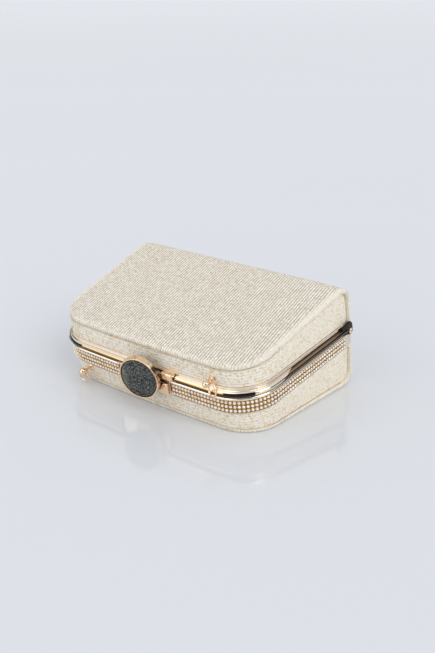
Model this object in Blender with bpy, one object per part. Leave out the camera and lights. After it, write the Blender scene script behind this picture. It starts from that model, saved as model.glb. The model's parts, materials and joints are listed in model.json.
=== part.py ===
"""Evening box clutch lying on its lower panel: two wedge-shaped halves hinged at the rear of a metal frame.

Built in a bag frame (x right, y to the rear, z square to the split between the halves, split at z = 0),
then turned by the wedge angle so that the lower panel lies flat on z = 0.
"""

import math

import bmesh
import bpy
from mathutils import Matrix, Vector

MM = 0.001

# ---------------------------------------------------------------- driving dimensions (mm)
HALF_W = 90.0            # half width of the panels at the rear
DEPTH = 110.0            # front edge to outer back face
CORNER_R = 26.0          # plan radius of the front corners
BOW = 2.2                # how far the front edge bows forward at its middle
FLARE = 3.3              # degrees the panel sides open towards the rear
WEDGE = 7.65             # degrees between each outer panel and the split plane
T_LOW = 27.6             # lower half thickness at the front edge
T_UP = 19.8              # upper half thickness at the front edge
BEND_R = 10.3            # outer radius where a panel turns into the back wall
WRAP_T = 3.0             # thickness of the covered board
BACK_GAP = 2.0           # each back wall stops this far from the split

FRAME_HALF_W = 87.4      # half width of the walls and the frame line at the rear
FRAME_FLARE = 1.75       # degrees the walls and the frame open towards the rear
WALL_OUT = -0.3          # outer face of the side wall from the frame line
WALL_T = 2.4
FIT = 0.3                # clearance between neighbouring pieces

PLATE_IN = 0.2           # frame plate, inner and outer face from the frame line
PLATE_OUT = 1.4
WEB_IN = -3.4            # frame web over the wall rims
LOW_PLATE_Z = -12.2      # lower edge of the lower frame plate
UP_PLATE_Z = 6.0         # upper edge of the upper frame plate
LIP_OUT = 3.4
BEAD_OUT = 4.1
BEAD_TOP = 3.9
SPLIT_GAP = 0.15         # half of the gap between the two frames

STRIP = (1.7, 2.8)       # crystal strip, inner and outer face from the frame line
STRIP_Z = (-11.2, -3.2)
LOW_GAP = (-23.0, 23.3)  # strip, lip and bead are left out here for the clasp
UP_GAP = (-16.3, 28.4)

PIVOT_Y = DEPTH - 2.8    # rear hinge line, at z = 0
EAR_R = 4.2
EAR_X = (89.0, 90.3)     # upper ear, inner and outer face
TAB_X = (87.5, 88.7)     # lower ear, inner and outer face
STRIP_END = PIVOT_Y - 5.0

KNOB_X = 6.0
KNOB_Z = 0.7
KNOB_R = 15.2
KNOB_REAR = 6.1          # distances in front of the frame line
KNOB_FRONT = 12.9
PIN_U = 4.2
PIN_Z = 3.5

RING_R = 5.4             # middle radius of the hanging rings
WIRE_R = 0.65
NECK_R = 0.9
LEFT_POST = (-56.0, -15.4, 3.4)    # x, z, and the distance of the ring plane in front of y = 0
RIGHT_POST = (57.0, 9.0, 4.7)

PLAN_STEPS = 10          # facets over half the front, and over each corner
BEND_STEPS = 8

# ---------------------------------------------------------------- materials
FABRIC = ("ivory_lurex_fabric", (0.74, 0.68, 0.58, 1.0), 0.85, 0.0)
LINING = ("champagne_satin_lining", (0.62, 0.53, 0.42, 1.0), 0.5, 0.0)
GOLD = ("light_gold_plate", (0.93, 0.72, 0.46, 1.0), 0.16, 1.0)
ROSE = ("rose_gold_plate", (0.92, 0.62, 0.45, 1.0), 0.2, 1.0)
CRYSTAL = ("crystal_in_gold_cups", (0.92, 0.88, 0.8, 1.0), 0.08, 0.2)
CAVIAR = ("grey_caviar_beads", (0.09, 0.1, 0.1, 1.0), 0.3, 0.3)
STEEL = ("spring_steel", (0.6, 0.6, 0.6, 1.0), 0.3, 1.0)


def material(spec):
    """The Principled material of a (name, colour, roughness, metallic) spec."""
    name, colour, rough, metal = spec
    mat = bpy.data.materials.get(name)
    if mat is None:
        mat = bpy.data.materials.new(name)
        mat.use_nodes = True
        shader = mat.node_tree.nodes["Principled BSDF"]
        shader.inputs["Base Color"].default_value = colour
        shader.inputs["Roughness"].default_value = rough
        shader.inputs["Metallic"].default_value = metal
    return mat


def from_bmesh(name, bm):
    """A new object in the scene from a bmesh in millimetres, normals facing out."""
    bmesh.ops.remove_doubles(bm, verts=bm.verts, dist=1e-5)
    bmesh.ops.recalc_face_normals(bm, faces=bm.faces)
    mesh = bpy.data.meshes.new(name)
    bm.to_mesh(mesh)
    bm.free()
    obj = bpy.data.objects.new(name, mesh)
    bpy.context.scene.collection.objects.link(obj)
    return obj


def combine(target, tool, operation):
    """Boolean of two objects, applied at once; the tool object is removed."""
    mod = target.modifiers.new("combine", "BOOLEAN")
    mod.operation = operation
    mod.solver = "EXACT"
    mod.object = tool
    graph = bpy.context.evaluated_depsgraph_get()
    result = bpy.data.meshes.new_from_object(target.evaluated_get(graph))
    target.modifiers.clear()
    old = target.data
    target.data = result
    bpy.data.meshes.remove(old)
    bpy.data.objects.remove(tool)
    return target


def cut(target, *tools):
    for tool in tools:
        combine(target, tool, "DIFFERENCE")
    return target


def join(target, *tools):
    for tool in tools:
        combine(target, tool, "UNION")
    return target


# ---------------------------------------------------------------- outlines
def half_plan(off, half_w, flare, y_end):
    """Right half of the plan outline, from the middle of the front to the rear, moved outwards by off."""
    tilt = math.radians(flare)
    w = half_w - (DEPTH - CORNER_R) * math.tan(tilt)
    front_r = (w * w + BOW * BOW) / (2.0 * BOW)

    def centre(y):
        x = half_w - (DEPTH - y) * math.tan(tilt)
        return x - CORNER_R * math.cos(tilt), y + CORNER_R * math.sin(tilt)

    low, high = -5.0, 60.0
    for _ in range(60):
        mid = 0.5 * (low + high)
        cx, cy = centre(mid)
        if math.hypot(cx, cy - front_r) > front_r - CORNER_R:
            low = mid
        else:
            high = mid
    cx, cy = centre(0.5 * (low + high))
    turn = math.atan2(cx, front_r - cy)
    points = []
    for k in range(PLAN_STEPS):
        a = turn * k / PLAN_STEPS
        points.append(((front_r + off) * math.sin(a), front_r - (front_r + off) * math.cos(a)))
    last = 0.5 * math.pi - tilt
    for k in range(PLAN_STEPS + 1):
        a = turn + (last - turn) * k / PLAN_STEPS
        points.append((cx + (CORNER_R + off) * math.sin(a), cy - (CORNER_R + off) * math.cos(a)))
    x1, y1 = points[-1]
    points.append((x1 + (y_end - y1) * math.tan(tilt), y_end))
    return points


def full_plan(off, half_w, flare, y_end):
    """Whole outline from the rear left, round the front, to the rear right."""
    right = half_plan(off, half_w, flare, y_end)
    left = [(-x, y) for x, y in reversed(right[1:])]
    return left + right


def frame_plan(off, y_end):
    return full_plan(off, FRAME_HALF_W, FRAME_FLARE, y_end)


def wrap_line(thick, inset, z_end):
    """Profile of the outside of a half in y and depth below the split, inset inwards, front to rear."""
    a = math.radians(WEDGE)
    base = thick * math.cos(a)
    r = BEND_R - inset
    yc = DEPTH - BEND_R
    zc = (BEND_R - base - yc * math.sin(a)) / math.cos(a)

    def line(y):
        return -(thick + y * math.tan(a)) + inset / math.cos(a)

    points = [(-12.0, line(-12.0))]
    start = -0.5 * math.pi - a
    for k in range(BEND_STEPS + 1):
        t = start + (0.5 * math.pi + a) * k / BEND_STEPS
        points.append((yc + r * math.cos(t), zc + r * math.sin(t)))
    points.append((DEPTH - inset, z_end))
    return points


# ---------------------------------------------------------------- solids
def prism(name, polygon, low, high, axis):
    """Closed prism of a 2-D polygon: axis z takes (x, y), axis x takes (y, z), axis y takes (x, z)."""
    place = {
        "z": lambda a, b, h: (a, b, h),
        "x": lambda a, b, h: (h, a, b),
        "y": lambda a, b, h: (a, h, b),
    }[axis]
    bm = bmesh.new()
    bottom = [bm.verts.new(place(a, b, low)) for a, b in polygon]
    top = [bm.verts.new(place(a, b, high)) for a, b in polygon]
    bm.faces.new(bottom)
    bm.faces.new(top)
    n = len(polygon)
    for k in range(n):
        j = (k + 1) % n
        bm.faces.new((bottom[k], bottom[j], top[j], top[k]))
    return from_bmesh(name, bm)


def box(name, xs, ys, zs):
    return prism(name, [(xs[0], ys[0]), (xs[1], ys[0]), (xs[1], ys[1]), (xs[0], ys[1])], zs[0], zs[1], "z")


def soft_box(name, xs, ys, zs, edge):
    """Box with its edges broken by a small two-step bevel."""
    obj = box(name, xs, ys, zs)
    bm = bmesh.new()
    bm.from_mesh(obj.data)
    bmesh.ops.bevel(bm, geom=bm.edges[:], offset=edge, segments=2, profile=0.5, affect="EDGES")
    bmesh.ops.recalc_face_normals(bm, faces=bm.faces)
    bm.to_mesh(obj.data)
    bm.free()
    return obj


def disc(name, radius, axis, low, high, at, steps=28):
    """Closed cylinder about an axis through at (two coordinates across the axis)."""
    ring = []
    for k in range(steps):
        a = 2.0 * math.pi * k / steps
        ring.append((at[0] + radius * math.cos(a), at[1] + radius * math.sin(a)))
    return prism(name, ring, low, high, axis)


def lathe(name, profile, centre, steps=40):
    """Turned piece about the y axis through centre (x, z); profile holds (radius, distance in front)."""
    bm = bmesh.new()
    rings = []
    for r, u in profile:
        if r < 1e-6:
            rings.append([bm.verts.new((centre[0], -u, centre[1]))])
            continue
        ring = []
        for k in range(steps):
            a = 2.0 * math.pi * k / steps
            ring.append(bm.verts.new((centre[0] + r * math.cos(a), -u, centre[1] + r * math.sin(a))))
        rings.append(ring)
    for first, second in zip(rings, rings[1:]):
        for k in range(steps):
            j = (k + 1) % steps
            corners = [first[k % len(first)], first[j % len(first)]]
            corners += [second[j % len(second)], second[k % len(second)]]
            unique = list(dict.fromkeys(corners))
            if len(unique) > 2:
                bm.faces.new(unique)
    return from_bmesh(name, bm)


def torus(name, centre, ring_r, wire_r, steps=36, around=10):
    """Ring in a plane of constant y."""
    bm = bmesh.new()
    rings = []
    for k in range(steps):
        a = 2.0 * math.pi * k / steps
        ring = []
        for j in range(around):
            b = 2.0 * math.pi * j / around
            r = ring_r + wire_r * math.cos(b)
            spot = (centre[0] + r * math.cos(a), centre[1] + wire_r * math.sin(b), centre[2] + r * math.sin(a))
            ring.append(bm.verts.new(spot))
        rings.append(ring)
    for k in range(steps):
        first, second = rings[k], rings[(k + 1) % steps]
        for j in range(around):
            i = (j + 1) % around
            bm.faces.new((first[j], first[i], second[i], second[j]))
    return from_bmesh(name, bm)


def coil(name, x0, x1, centre, mean_r, wire_r, turns, around=6, per_turn=12):
    """Helical spring about an x axis through centre (y, z), with closed ends."""
    bm = bmesh.new()
    count = turns * per_turn
    pitch = (x1 - x0) / (2.0 * math.pi * turns)
    rings = []
    for k in range(count + 1):
        a = 2.0 * math.pi * k / per_turn
        out = Vector((0.0, math.cos(a), math.sin(a)))
        along = Vector((pitch, -mean_r * math.sin(a), mean_r * math.cos(a))).normalized()
        side = along.cross(out)
        mid = Vector((x0 + pitch * a, centre[0], centre[1])) + out * mean_r
        ring = []
        for j in range(around):
            b = 2.0 * math.pi * j / around
            ring.append(bm.verts.new(mid + out * wire_r * math.cos(b) + side * wire_r * math.sin(b)))
        rings.append(ring)
    for first, second in zip(rings, rings[1:]):
        for j in range(around):
            i = (j + 1) % around
            bm.faces.new((first[j], first[i], second[i], second[j]))
    bm.faces.new(rings[0])
    bm.faces.new(rings[-1])
    return from_bmesh(name, bm)


def sweep(name, section, stations):
    """Closed section of (outward offset, z) swept along stations(off) -> list of plan points."""
    lines = [[(x, y, z) for x, y in stations(off)] for off, z in section]
    bm = bmesh.new()
    count = len(lines[0])
    rings = [[bm.verts.new(line[k]) for line in lines] for k in range(count)]
    n = len(section)
    for first, second in zip(rings, rings[1:]):
        for j in range(n):
            i = (j + 1) % n
            bm.faces.new((first[j], first[i], second[i], second[j]))
    bm.faces.new(rings[0])
    bm.faces.new(rings[-1])
    return from_bmesh(name, bm)


def flip(profile, upper):
    """Mirror a profile in the split plane for the upper half."""
    return [(y, -z) for y, z in profile] if upper else profile


def half_solid(name, off, inset, z_top, thick, upper, panel=False):
    """Everything inside a half: under z_top, above the inset wrap line and inside the plan outline."""
    profile = wrap_line(thick, inset, z_top)
    profile.append((-12.0, z_top))
    solid = prism(name, flip(profile, upper), -120.0, 120.0, "x")
    if panel:
        plan = full_plan(off, HALF_W, FLARE, DEPTH + 15.0)
    else:
        plan = frame_plan(off, DEPTH + 15.0)
    return combine(solid, prism(name + "_plan", plan, -90.0, 90.0, "z"), "INTERSECT")


# ---------------------------------------------------------------- the two halves
def cover(name, thick, upper, notch_z):
    """Fabric-covered board: outer panel bent at the rear into the back wall, notched for the hinge ears."""
    outer = wrap_line(thick, 0.0, -BACK_GAP)
    inner = wrap_line(thick, WRAP_T, -BACK_GAP)
    sheet = prism(name, flip(outer + inner[::-1], upper), -120.0, 120.0, "x")
    plan = full_plan(0.0, HALF_W, FLARE, DEPTH + 15.0)
    combine(sheet, prism(name + "_plan", plan, -90.0, 90.0, "z"), "INTERSECT")
    sign = 1.0 if upper else -1.0
    for side in (-1.0, 1.0):
        xs = sorted((side * 87.0, side * 95.0))
        zs = sorted((sign * 0.5, sign * notch_z))
        cut(sheet, box("notch", xs, (DEPTH - 9.0, DEPTH + 4.0), zs))
    return sheet


def side_wall(name, thick, upper):
    """U-shaped wall round the front and both sides, shaped to the panel underneath it."""
    wall = half_solid(name, WALL_OUT, WRAP_T + FIT, -1.6, thick, upper)
    room = frame_plan(WALL_OUT - WALL_T, DEPTH + 20.0)
    return cut(wall, prism("room", room, -95.0, 95.0, "z"))


def lining(name, thick, upper):
    """Thin tray lining one half."""
    tray = half_solid(name, WALL_OUT - WALL_T - FIT, WRAP_T + 1.0, -1.7, thick, upper)
    room = half_solid("room", WALL_OUT - WALL_T - FIT - 0.8, WRAP_T + 1.8, 6.0, thick, upper)
    return cut(tray, room)


def mirrored_boxes(xs, ys, zs):
    """The same cutting box on the right and on the left."""
    return [
        box("cutter", (xs[0], xs[1]), ys, zs),
        box("cutter", (-xs[1], -xs[0]), ys, zs),
    ]


def lower_frame():
    section = [
        (PLATE_IN, LOW_PLATE_Z),
        (PLATE_OUT, LOW_PLATE_Z),
        (PLATE_OUT, -2.9),
        (2.8, -2.8),
        (3.2, -2.5),
        (LIP_OUT, -1.9),
        (LIP_OUT, -1.2),
        (3.2, -0.5),
        (2.7, -SPLIT_GAP),
        (WEB_IN, -SPLIT_GAP),
        (WEB_IN, -1.3),
        (PLATE_IN, -1.3),
    ]
    frame = sweep("lower_frame", section, lambda off: frame_plan(off, PIVOT_Y - 0.4))
    cut(frame, box("cutter", LOW_GAP, (-9.0, -PLATE_OUT - 0.03), (-5.0, 3.0)))
    cut(frame, *mirrored_boxes((TAB_X[1] + 0.02, 95.0), (PIVOT_Y - 4.7, DEPTH), (-5.0, 3.0)))
    for side in (-1.0, 1.0):
        xs = sorted((side * TAB_X[0], side * TAB_X[1]))
        tab = disc("tab", EAR_R, "x", xs[0], xs[1], (PIVOT_Y, 0.0))
        foot = [
            (PIVOT_Y - 6.0, LOW_PLATE_Z),
            (PIVOT_Y + 2.0, LOW_PLATE_Z),
            (PIVOT_Y + 2.6, LOW_PLATE_Z + 0.6),
            (PIVOT_Y + 2.6, -1.0),
            (PIVOT_Y - 6.0, -1.0),
        ]
        join(tab, prism("foot", foot, xs[0], xs[1], "x"))
        join(frame, tab)
        cut(frame, disc("bore", 1.45, "x", xs[0] - 1.0, xs[1] + 1.0, (PIVOT_Y, 0.0), 20))
    return frame


def upper_frame():
    section = [
        (PLATE_IN, UP_PLATE_Z),
        (PLATE_OUT - 0.3, UP_PLATE_Z),
        (PLATE_OUT, UP_PLATE_Z - 0.3),
        (PLATE_OUT, BEAD_TOP + 0.3),
        (1.8, BEAD_TOP),
        (2.6, 3.8),
        (3.4, 3.3),
        (3.9, 2.6),
        (BEAD_OUT, 1.8),
        (3.9, 0.9),
        (3.3, SPLIT_GAP),
        (WEB_IN, SPLIT_GAP),
        (WEB_IN, 1.3),
        (PLATE_IN, 1.3),
    ]
    frame = sweep("upper_frame", section, lambda off: frame_plan(off, PIVOT_Y - 0.4))
    cut(frame, box("cutter", UP_GAP, (-9.0, -PLATE_OUT - 0.03), (-3.0, 4.6)))
    for side in (-1.0, 1.0):
        xs = sorted((side * EAR_X[0], side * EAR_X[1]))
        join(frame, disc("ear", EAR_R, "x", xs[0], xs[1], (PIVOT_Y, 0.0)))
    cut(frame, *mirrored_boxes((87.0, EAR_X[0]), (PIVOT_Y - 4.6, DEPTH + 4.0), (-6.0, 9.0)))
    for side in (-1.0, 1.0):
        xs = sorted((side * (EAR_X[0] - 1.0), side * (EAR_X[1] + 1.0)))
        cut(frame, disc("bore", 1.45, "x", xs[0], xs[1], (PIVOT_Y, 0.0), 20))
    cut(frame, *mirrored_boxes((EAR_X[1], 95.0), (PIVOT_Y - 2.6, DEPTH + 4.0), (-6.0, 9.0)))
    return frame


def crystal_strip(name, x_start, side):
    """Flat band standing for three rows of set stones, from the clasp to the rear hinge."""
    section = [(STRIP[0], STRIP_Z[0]), (STRIP[1], STRIP_Z[0]), (STRIP[1], STRIP_Z[1]), (STRIP[0], STRIP_Z[1])]

    def stations(off):
        points = half_plan(off, FRAME_HALF_W, FRAME_FLARE, STRIP_END)
        kept = [p for p in points if p[0] > x_start + 1.0]
        before = [p for p in points if p[0] <= x_start + 1.0][-1]
        t = (x_start - before[0]) / (kept[0][0] - before[0])
        start = (x_start, before[1] + t * (kept[0][1] - before[1]))
        return [(side * x, y) for x, y in [start] + kept]

    return sweep(name, section, stations)


# ---------------------------------------------------------------- clasp
def clasp_housing():
    """Two lugs on a back plate, fixed to the upper frame, carrying the clasp pin."""
    body = box("clasp_housing", (-14.0, 27.8), (-2.1, -1.7), (0.9, 5.7))
    join(body, soft_box("lug", (-14.0, -8.0), (-5.7, -1.75), (0.9, 5.7), 0.4))
    join(body, soft_box("lug", (18.2, 27.8), (-5.8, -1.75), (0.9, 5.7), 0.6))
    return cut(body, disc("bore", 1.15, "x", -15.0, 26.6, (-PIN_U, PIN_Z), 20))


def keeper():
    """Plate on the lower frame with the catch ledge and the block beside the knob."""
    body = box("keeper_plate", (-10.0, 22.4), (-2.4, -1.7), (-11.6, -1.4))
    join(body, soft_box("ledge", (0.0, 12.0), (-3.8, -2.2), (-7.2, -5.4), 0.3))
    return join(body, soft_box("block", (14.5, 22.4), (-5.5, -2.2), (-11.0, -2.2), 0.6))


def clasp_lever():
    """Rocking lever behind the knob: hub on the pin, tongue and inward tooth."""
    hub = soft_box("clasp_lever", (-7.0, 11.6), (-5.5, -2.75), (1.6, 5.4), 0.35)
    join(hub, box("tongue", (0.0, 10.0), (-5.5, -4.5), (-9.0, 2.4)))
    join(hub, soft_box("tooth", (0.6, 9.4), (-5.0, -4.15), (-9.0, -7.6), 0.2))
    return cut(hub, disc("bore", 1.15, "x", -8.0, 12.6, (-PIN_U, PIN_Z), 20))


def knob_bezel():
    profile = [
        (0.0, KNOB_REAR),
        (12.4, KNOB_REAR),
        (12.6, KNOB_REAR + 0.9),
        (KNOB_R - 0.5, KNOB_REAR + 1.0),
        (KNOB_R, KNOB_REAR + 1.5),
        (KNOB_R, KNOB_FRONT - 0.7),
        (KNOB_R - 0.3, KNOB_FRONT - 0.1),
        (KNOB_R - 0.8, KNOB_FRONT),
        (KNOB_R - 1.2, KNOB_FRONT - 0.3),
        (KNOB_R - 1.2, KNOB_FRONT - 2.0),
        (0.0, KNOB_FRONT - 2.0),
    ]
    return lathe("knob_bezel", profile, (KNOB_X, KNOB_Z))


def knob_face():
    r = KNOB_R - 1.5
    base = KNOB_FRONT - 1.9
    profile = [(0.0, base), (r, base), (r, KNOB_FRONT - 0.9)]
    profile += [(r * 0.82, KNOB_FRONT - 0.4), (r * 0.55, KNOB_FRONT)]
    profile += [(r * 0.28, KNOB_FRONT + 0.25), (0.0, KNOB_FRONT + 0.35)]
    return lathe("knob_face", profile, (KNOB_X, KNOB_Z))


def ring_post(name, post):
    """Turned post: base rosette, neck for the ring and a ball end."""
    x, z, plane = post
    wall = front_face(x)
    end = plane + 1.5
    profile = [(0.0, -wall), (2.1, -wall), (2.2, 0.5 - wall), (1.7, 1.1 - wall), (NECK_R, 1.4 - wall)]
    profile += [(NECK_R, end), (1.5, end + 0.35), (2.0, end + 1.2), (2.1, end + 1.9)]
    profile += [(1.9, end + 2.8), (1.2, end + 3.6), (0.0, end + 3.9)]
    return lathe(name, profile, (x, z), 24)


def front_face(x):
    """y of the front wall's outer face near x, with a small clearance."""
    points = half_plan(WALL_OUT, FRAME_HALF_W, FRAME_FLARE, DEPTH)
    near = min(points, key=lambda p: abs(p[0] - abs(x)))
    return near[1] - 0.25


def ring(name, post):
    x, z, plane = post
    drop = RING_R - WIRE_R - NECK_R - 0.1
    return torus(name, (x, -plane, z - drop), RING_R, WIRE_R)


def hinge_rivet(name, side):
    """Shaft through both ears with a domed head outside."""
    profile = [(0.0, 87.2), (1.15, 87.2), (1.15, EAR_X[1] + 0.15), (2.1, EAR_X[1] + 0.2), (2.1, EAR_X[1] + 0.5)]
    profile += [(1.8, EAR_X[1] + 1.1), (1.1, EAR_X[1] + 1.5), (0.0, EAR_X[1] + 1.65)]
    obj = lathe(name, profile, (0.0, 0.0), 20)
    turn = Matrix.Rotation(side * 0.5 * math.pi, 4, "Z")
    obj.data.transform(Matrix.Translation((0.0, PIVOT_Y, 0.0)) @ turn)
    return obj


# ---------------------------------------------------------------- assembly
def finish(obj, spec, smooth=False):
    obj.data.materials.clear()
    obj.data.materials.append(material(spec))
    for face in obj.data.polygons:
        face.use_smooth = smooth
        face.material_index = 0
    return obj


def place(objects, pivots):
    """Turn everything onto the lower panel, centre it over the floor and set the origins on the joint axes."""
    turn = Matrix.Scale(MM, 4) @ Matrix.Rotation(math.radians(WEDGE), 4, "X")
    for obj in objects:
        obj.data.transform(turn)
    points = [v.co for obj in objects for v in obj.data.vertices]
    middle_x = 0.5 * (min(p.x for p in points) + max(p.x for p in points))
    middle_y = 0.5 * (min(p.y for p in points) + max(p.y for p in points))
    shift = Vector((-middle_x, -middle_y, -min(p.z for p in points)))
    for obj in objects:
        pivot = turn @ Vector(pivots.get(obj.name, (0.0, 0.0, 0.0))) + shift
        obj.data.transform(Matrix.Translation(shift - pivot))
        obj.location = pivot
    print("shift", [round(c, 6) for c in shift])
    for name in sorted(pivots):
        print("pivot", name, [round(c, 6) for c in turn @ Vector(pivots[name]) + shift])


def main():
    for obj in list(bpy.data.objects):
        bpy.data.objects.remove(obj)
    objects = [
        finish(cover("lower_cover", T_LOW, False, 12.7), FABRIC),
        finish(cover("upper_cover", T_UP, True, 6.5), FABRIC),
        finish(side_wall("lower_side_wall", T_LOW, False), FABRIC),
        finish(side_wall("upper_side_wall", T_UP, True), FABRIC),
        finish(lining("lower_lining", T_LOW, False), LINING),
        finish(lining("upper_lining", T_UP, True), LINING),
        finish(lower_frame(), GOLD),
        finish(upper_frame(), GOLD),
        finish(crystal_strip("crystal_strip_right", LOW_GAP[1] + 0.3, 1.0), CRYSTAL),
        finish(crystal_strip("crystal_strip_left", -LOW_GAP[0] + 0.3, -1.0), CRYSTAL),
        finish(clasp_housing(), ROSE),
        finish(keeper(), ROSE),
        finish(disc("clasp_pin", 0.9, "x", -13.2, 26.3, (-PIN_U, PIN_Z), 16), STEEL, True),
        finish(coil("clasp_spring", 12.4, 17.4, (-PIN_U, PIN_Z), 1.4, 0.28, 5), STEEL, True),
        finish(clasp_lever(), ROSE),
        finish(knob_bezel(), ROSE, True),
        finish(knob_face(), CAVIAR, True),
        finish(disc("knob_stem", 3.2, "y", -KNOB_REAR + 0.05, -5.55, (5.0, 0.6), 24), ROSE, True),
        finish(hinge_rivet("hinge_rivet_right", 1.0), ROSE, True),
        finish(hinge_rivet("hinge_rivet_left", -1.0), ROSE, True),
        finish(ring_post("ring_post_left", LEFT_POST), ROSE, True),
        finish(ring_post("ring_post_right", RIGHT_POST), ROSE, True),
        finish(ring("ring_left", LEFT_POST), ROSE, True),
        finish(ring("ring_right", RIGHT_POST), ROSE, True),
        finish(box("back_hinge_cloth", (-79.0, 79.0), (DEPTH - 3.75, DEPTH - 3.3), (-8.0, 8.0)), LINING),
    ]
    hinge = (0.0, PIVOT_Y, 0.0)
    pin = (KNOB_X, -PIN_U, PIN_Z)
    pivots = {name: hinge for name in ("upper_cover", "upper_side_wall", "upper_lining", "upper_frame")}
    pivots.update({name: hinge for name in ("clasp_housing", "back_hinge_cloth", "ring_post_right")})
    pivots.update({name: pin for name in ("clasp_lever", "knob_bezel", "knob_face", "knob_stem")})
    pivots["ring_left"] = (LEFT_POST[0], -LEFT_POST[2], LEFT_POST[1])
    pivots["ring_right"] = (RIGHT_POST[0], -RIGHT_POST[2], RIGHT_POST[1])
    place(objects, pivots)


main()
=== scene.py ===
"""Hard box clutch in ribbed lurex cloth with a gold frame, crystal banding and a round beaded knob.

Every new piece is drawn in the bag's own frame, in millimetres: x to the right, y from the clasp to the
rear hinge, z square to the split between the halves. BagShape.to_row turns that into the row frame.
"""

import json
import logging
import math
from dataclasses import dataclass
from enum import Enum
from typing import Callable, Iterable, Sequence

import bmesh
import bpy
import numpy as np
from mathutils import Matrix, Vector


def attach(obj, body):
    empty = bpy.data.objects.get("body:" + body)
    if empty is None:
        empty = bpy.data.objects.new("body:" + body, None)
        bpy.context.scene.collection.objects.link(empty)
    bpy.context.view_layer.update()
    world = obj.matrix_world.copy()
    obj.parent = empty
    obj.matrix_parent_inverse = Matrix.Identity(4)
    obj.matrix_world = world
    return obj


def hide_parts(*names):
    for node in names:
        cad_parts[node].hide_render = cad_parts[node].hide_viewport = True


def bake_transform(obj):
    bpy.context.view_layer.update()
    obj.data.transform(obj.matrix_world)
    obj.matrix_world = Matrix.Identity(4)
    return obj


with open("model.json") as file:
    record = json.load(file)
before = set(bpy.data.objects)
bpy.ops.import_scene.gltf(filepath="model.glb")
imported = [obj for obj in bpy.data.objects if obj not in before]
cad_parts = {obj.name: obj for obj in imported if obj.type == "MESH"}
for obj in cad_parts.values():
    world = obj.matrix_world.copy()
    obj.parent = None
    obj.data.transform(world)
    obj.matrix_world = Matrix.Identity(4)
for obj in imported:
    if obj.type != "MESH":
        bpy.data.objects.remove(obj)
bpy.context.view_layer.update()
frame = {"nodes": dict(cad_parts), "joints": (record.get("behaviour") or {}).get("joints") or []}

LOG = logging.getLogger("box_clutch")
MM = 0.001
Points = np.ndarray
Rgb = tuple[float, float, float]


class Body(Enum):
    """The rigid bodies that pieces ride on."""

    LOWER = "lower_half"
    UPPER = "upper_half"
    CLASP = "clasp"
    RING_LEFT = "ring_left"
    RING_RIGHT = "ring_right"


class Half(Enum):
    """The two halves of the shell, with the side of the split they lie on."""

    LOWER = -1.0
    UPPER = 1.0


class Slot(Enum):
    """Material slots of the record."""

    FABRIC = "ivory_lurex_fabric"
    LINING = "champagne_satin_lining"
    GOLD = "light_gold_plate"
    ROSE = "rose_gold_plate"
    CRYSTAL = "crystal_in_gold_cups"
    CAVIAR = "grey_caviar_beads"
    STEEL = "spring_steel"


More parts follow.
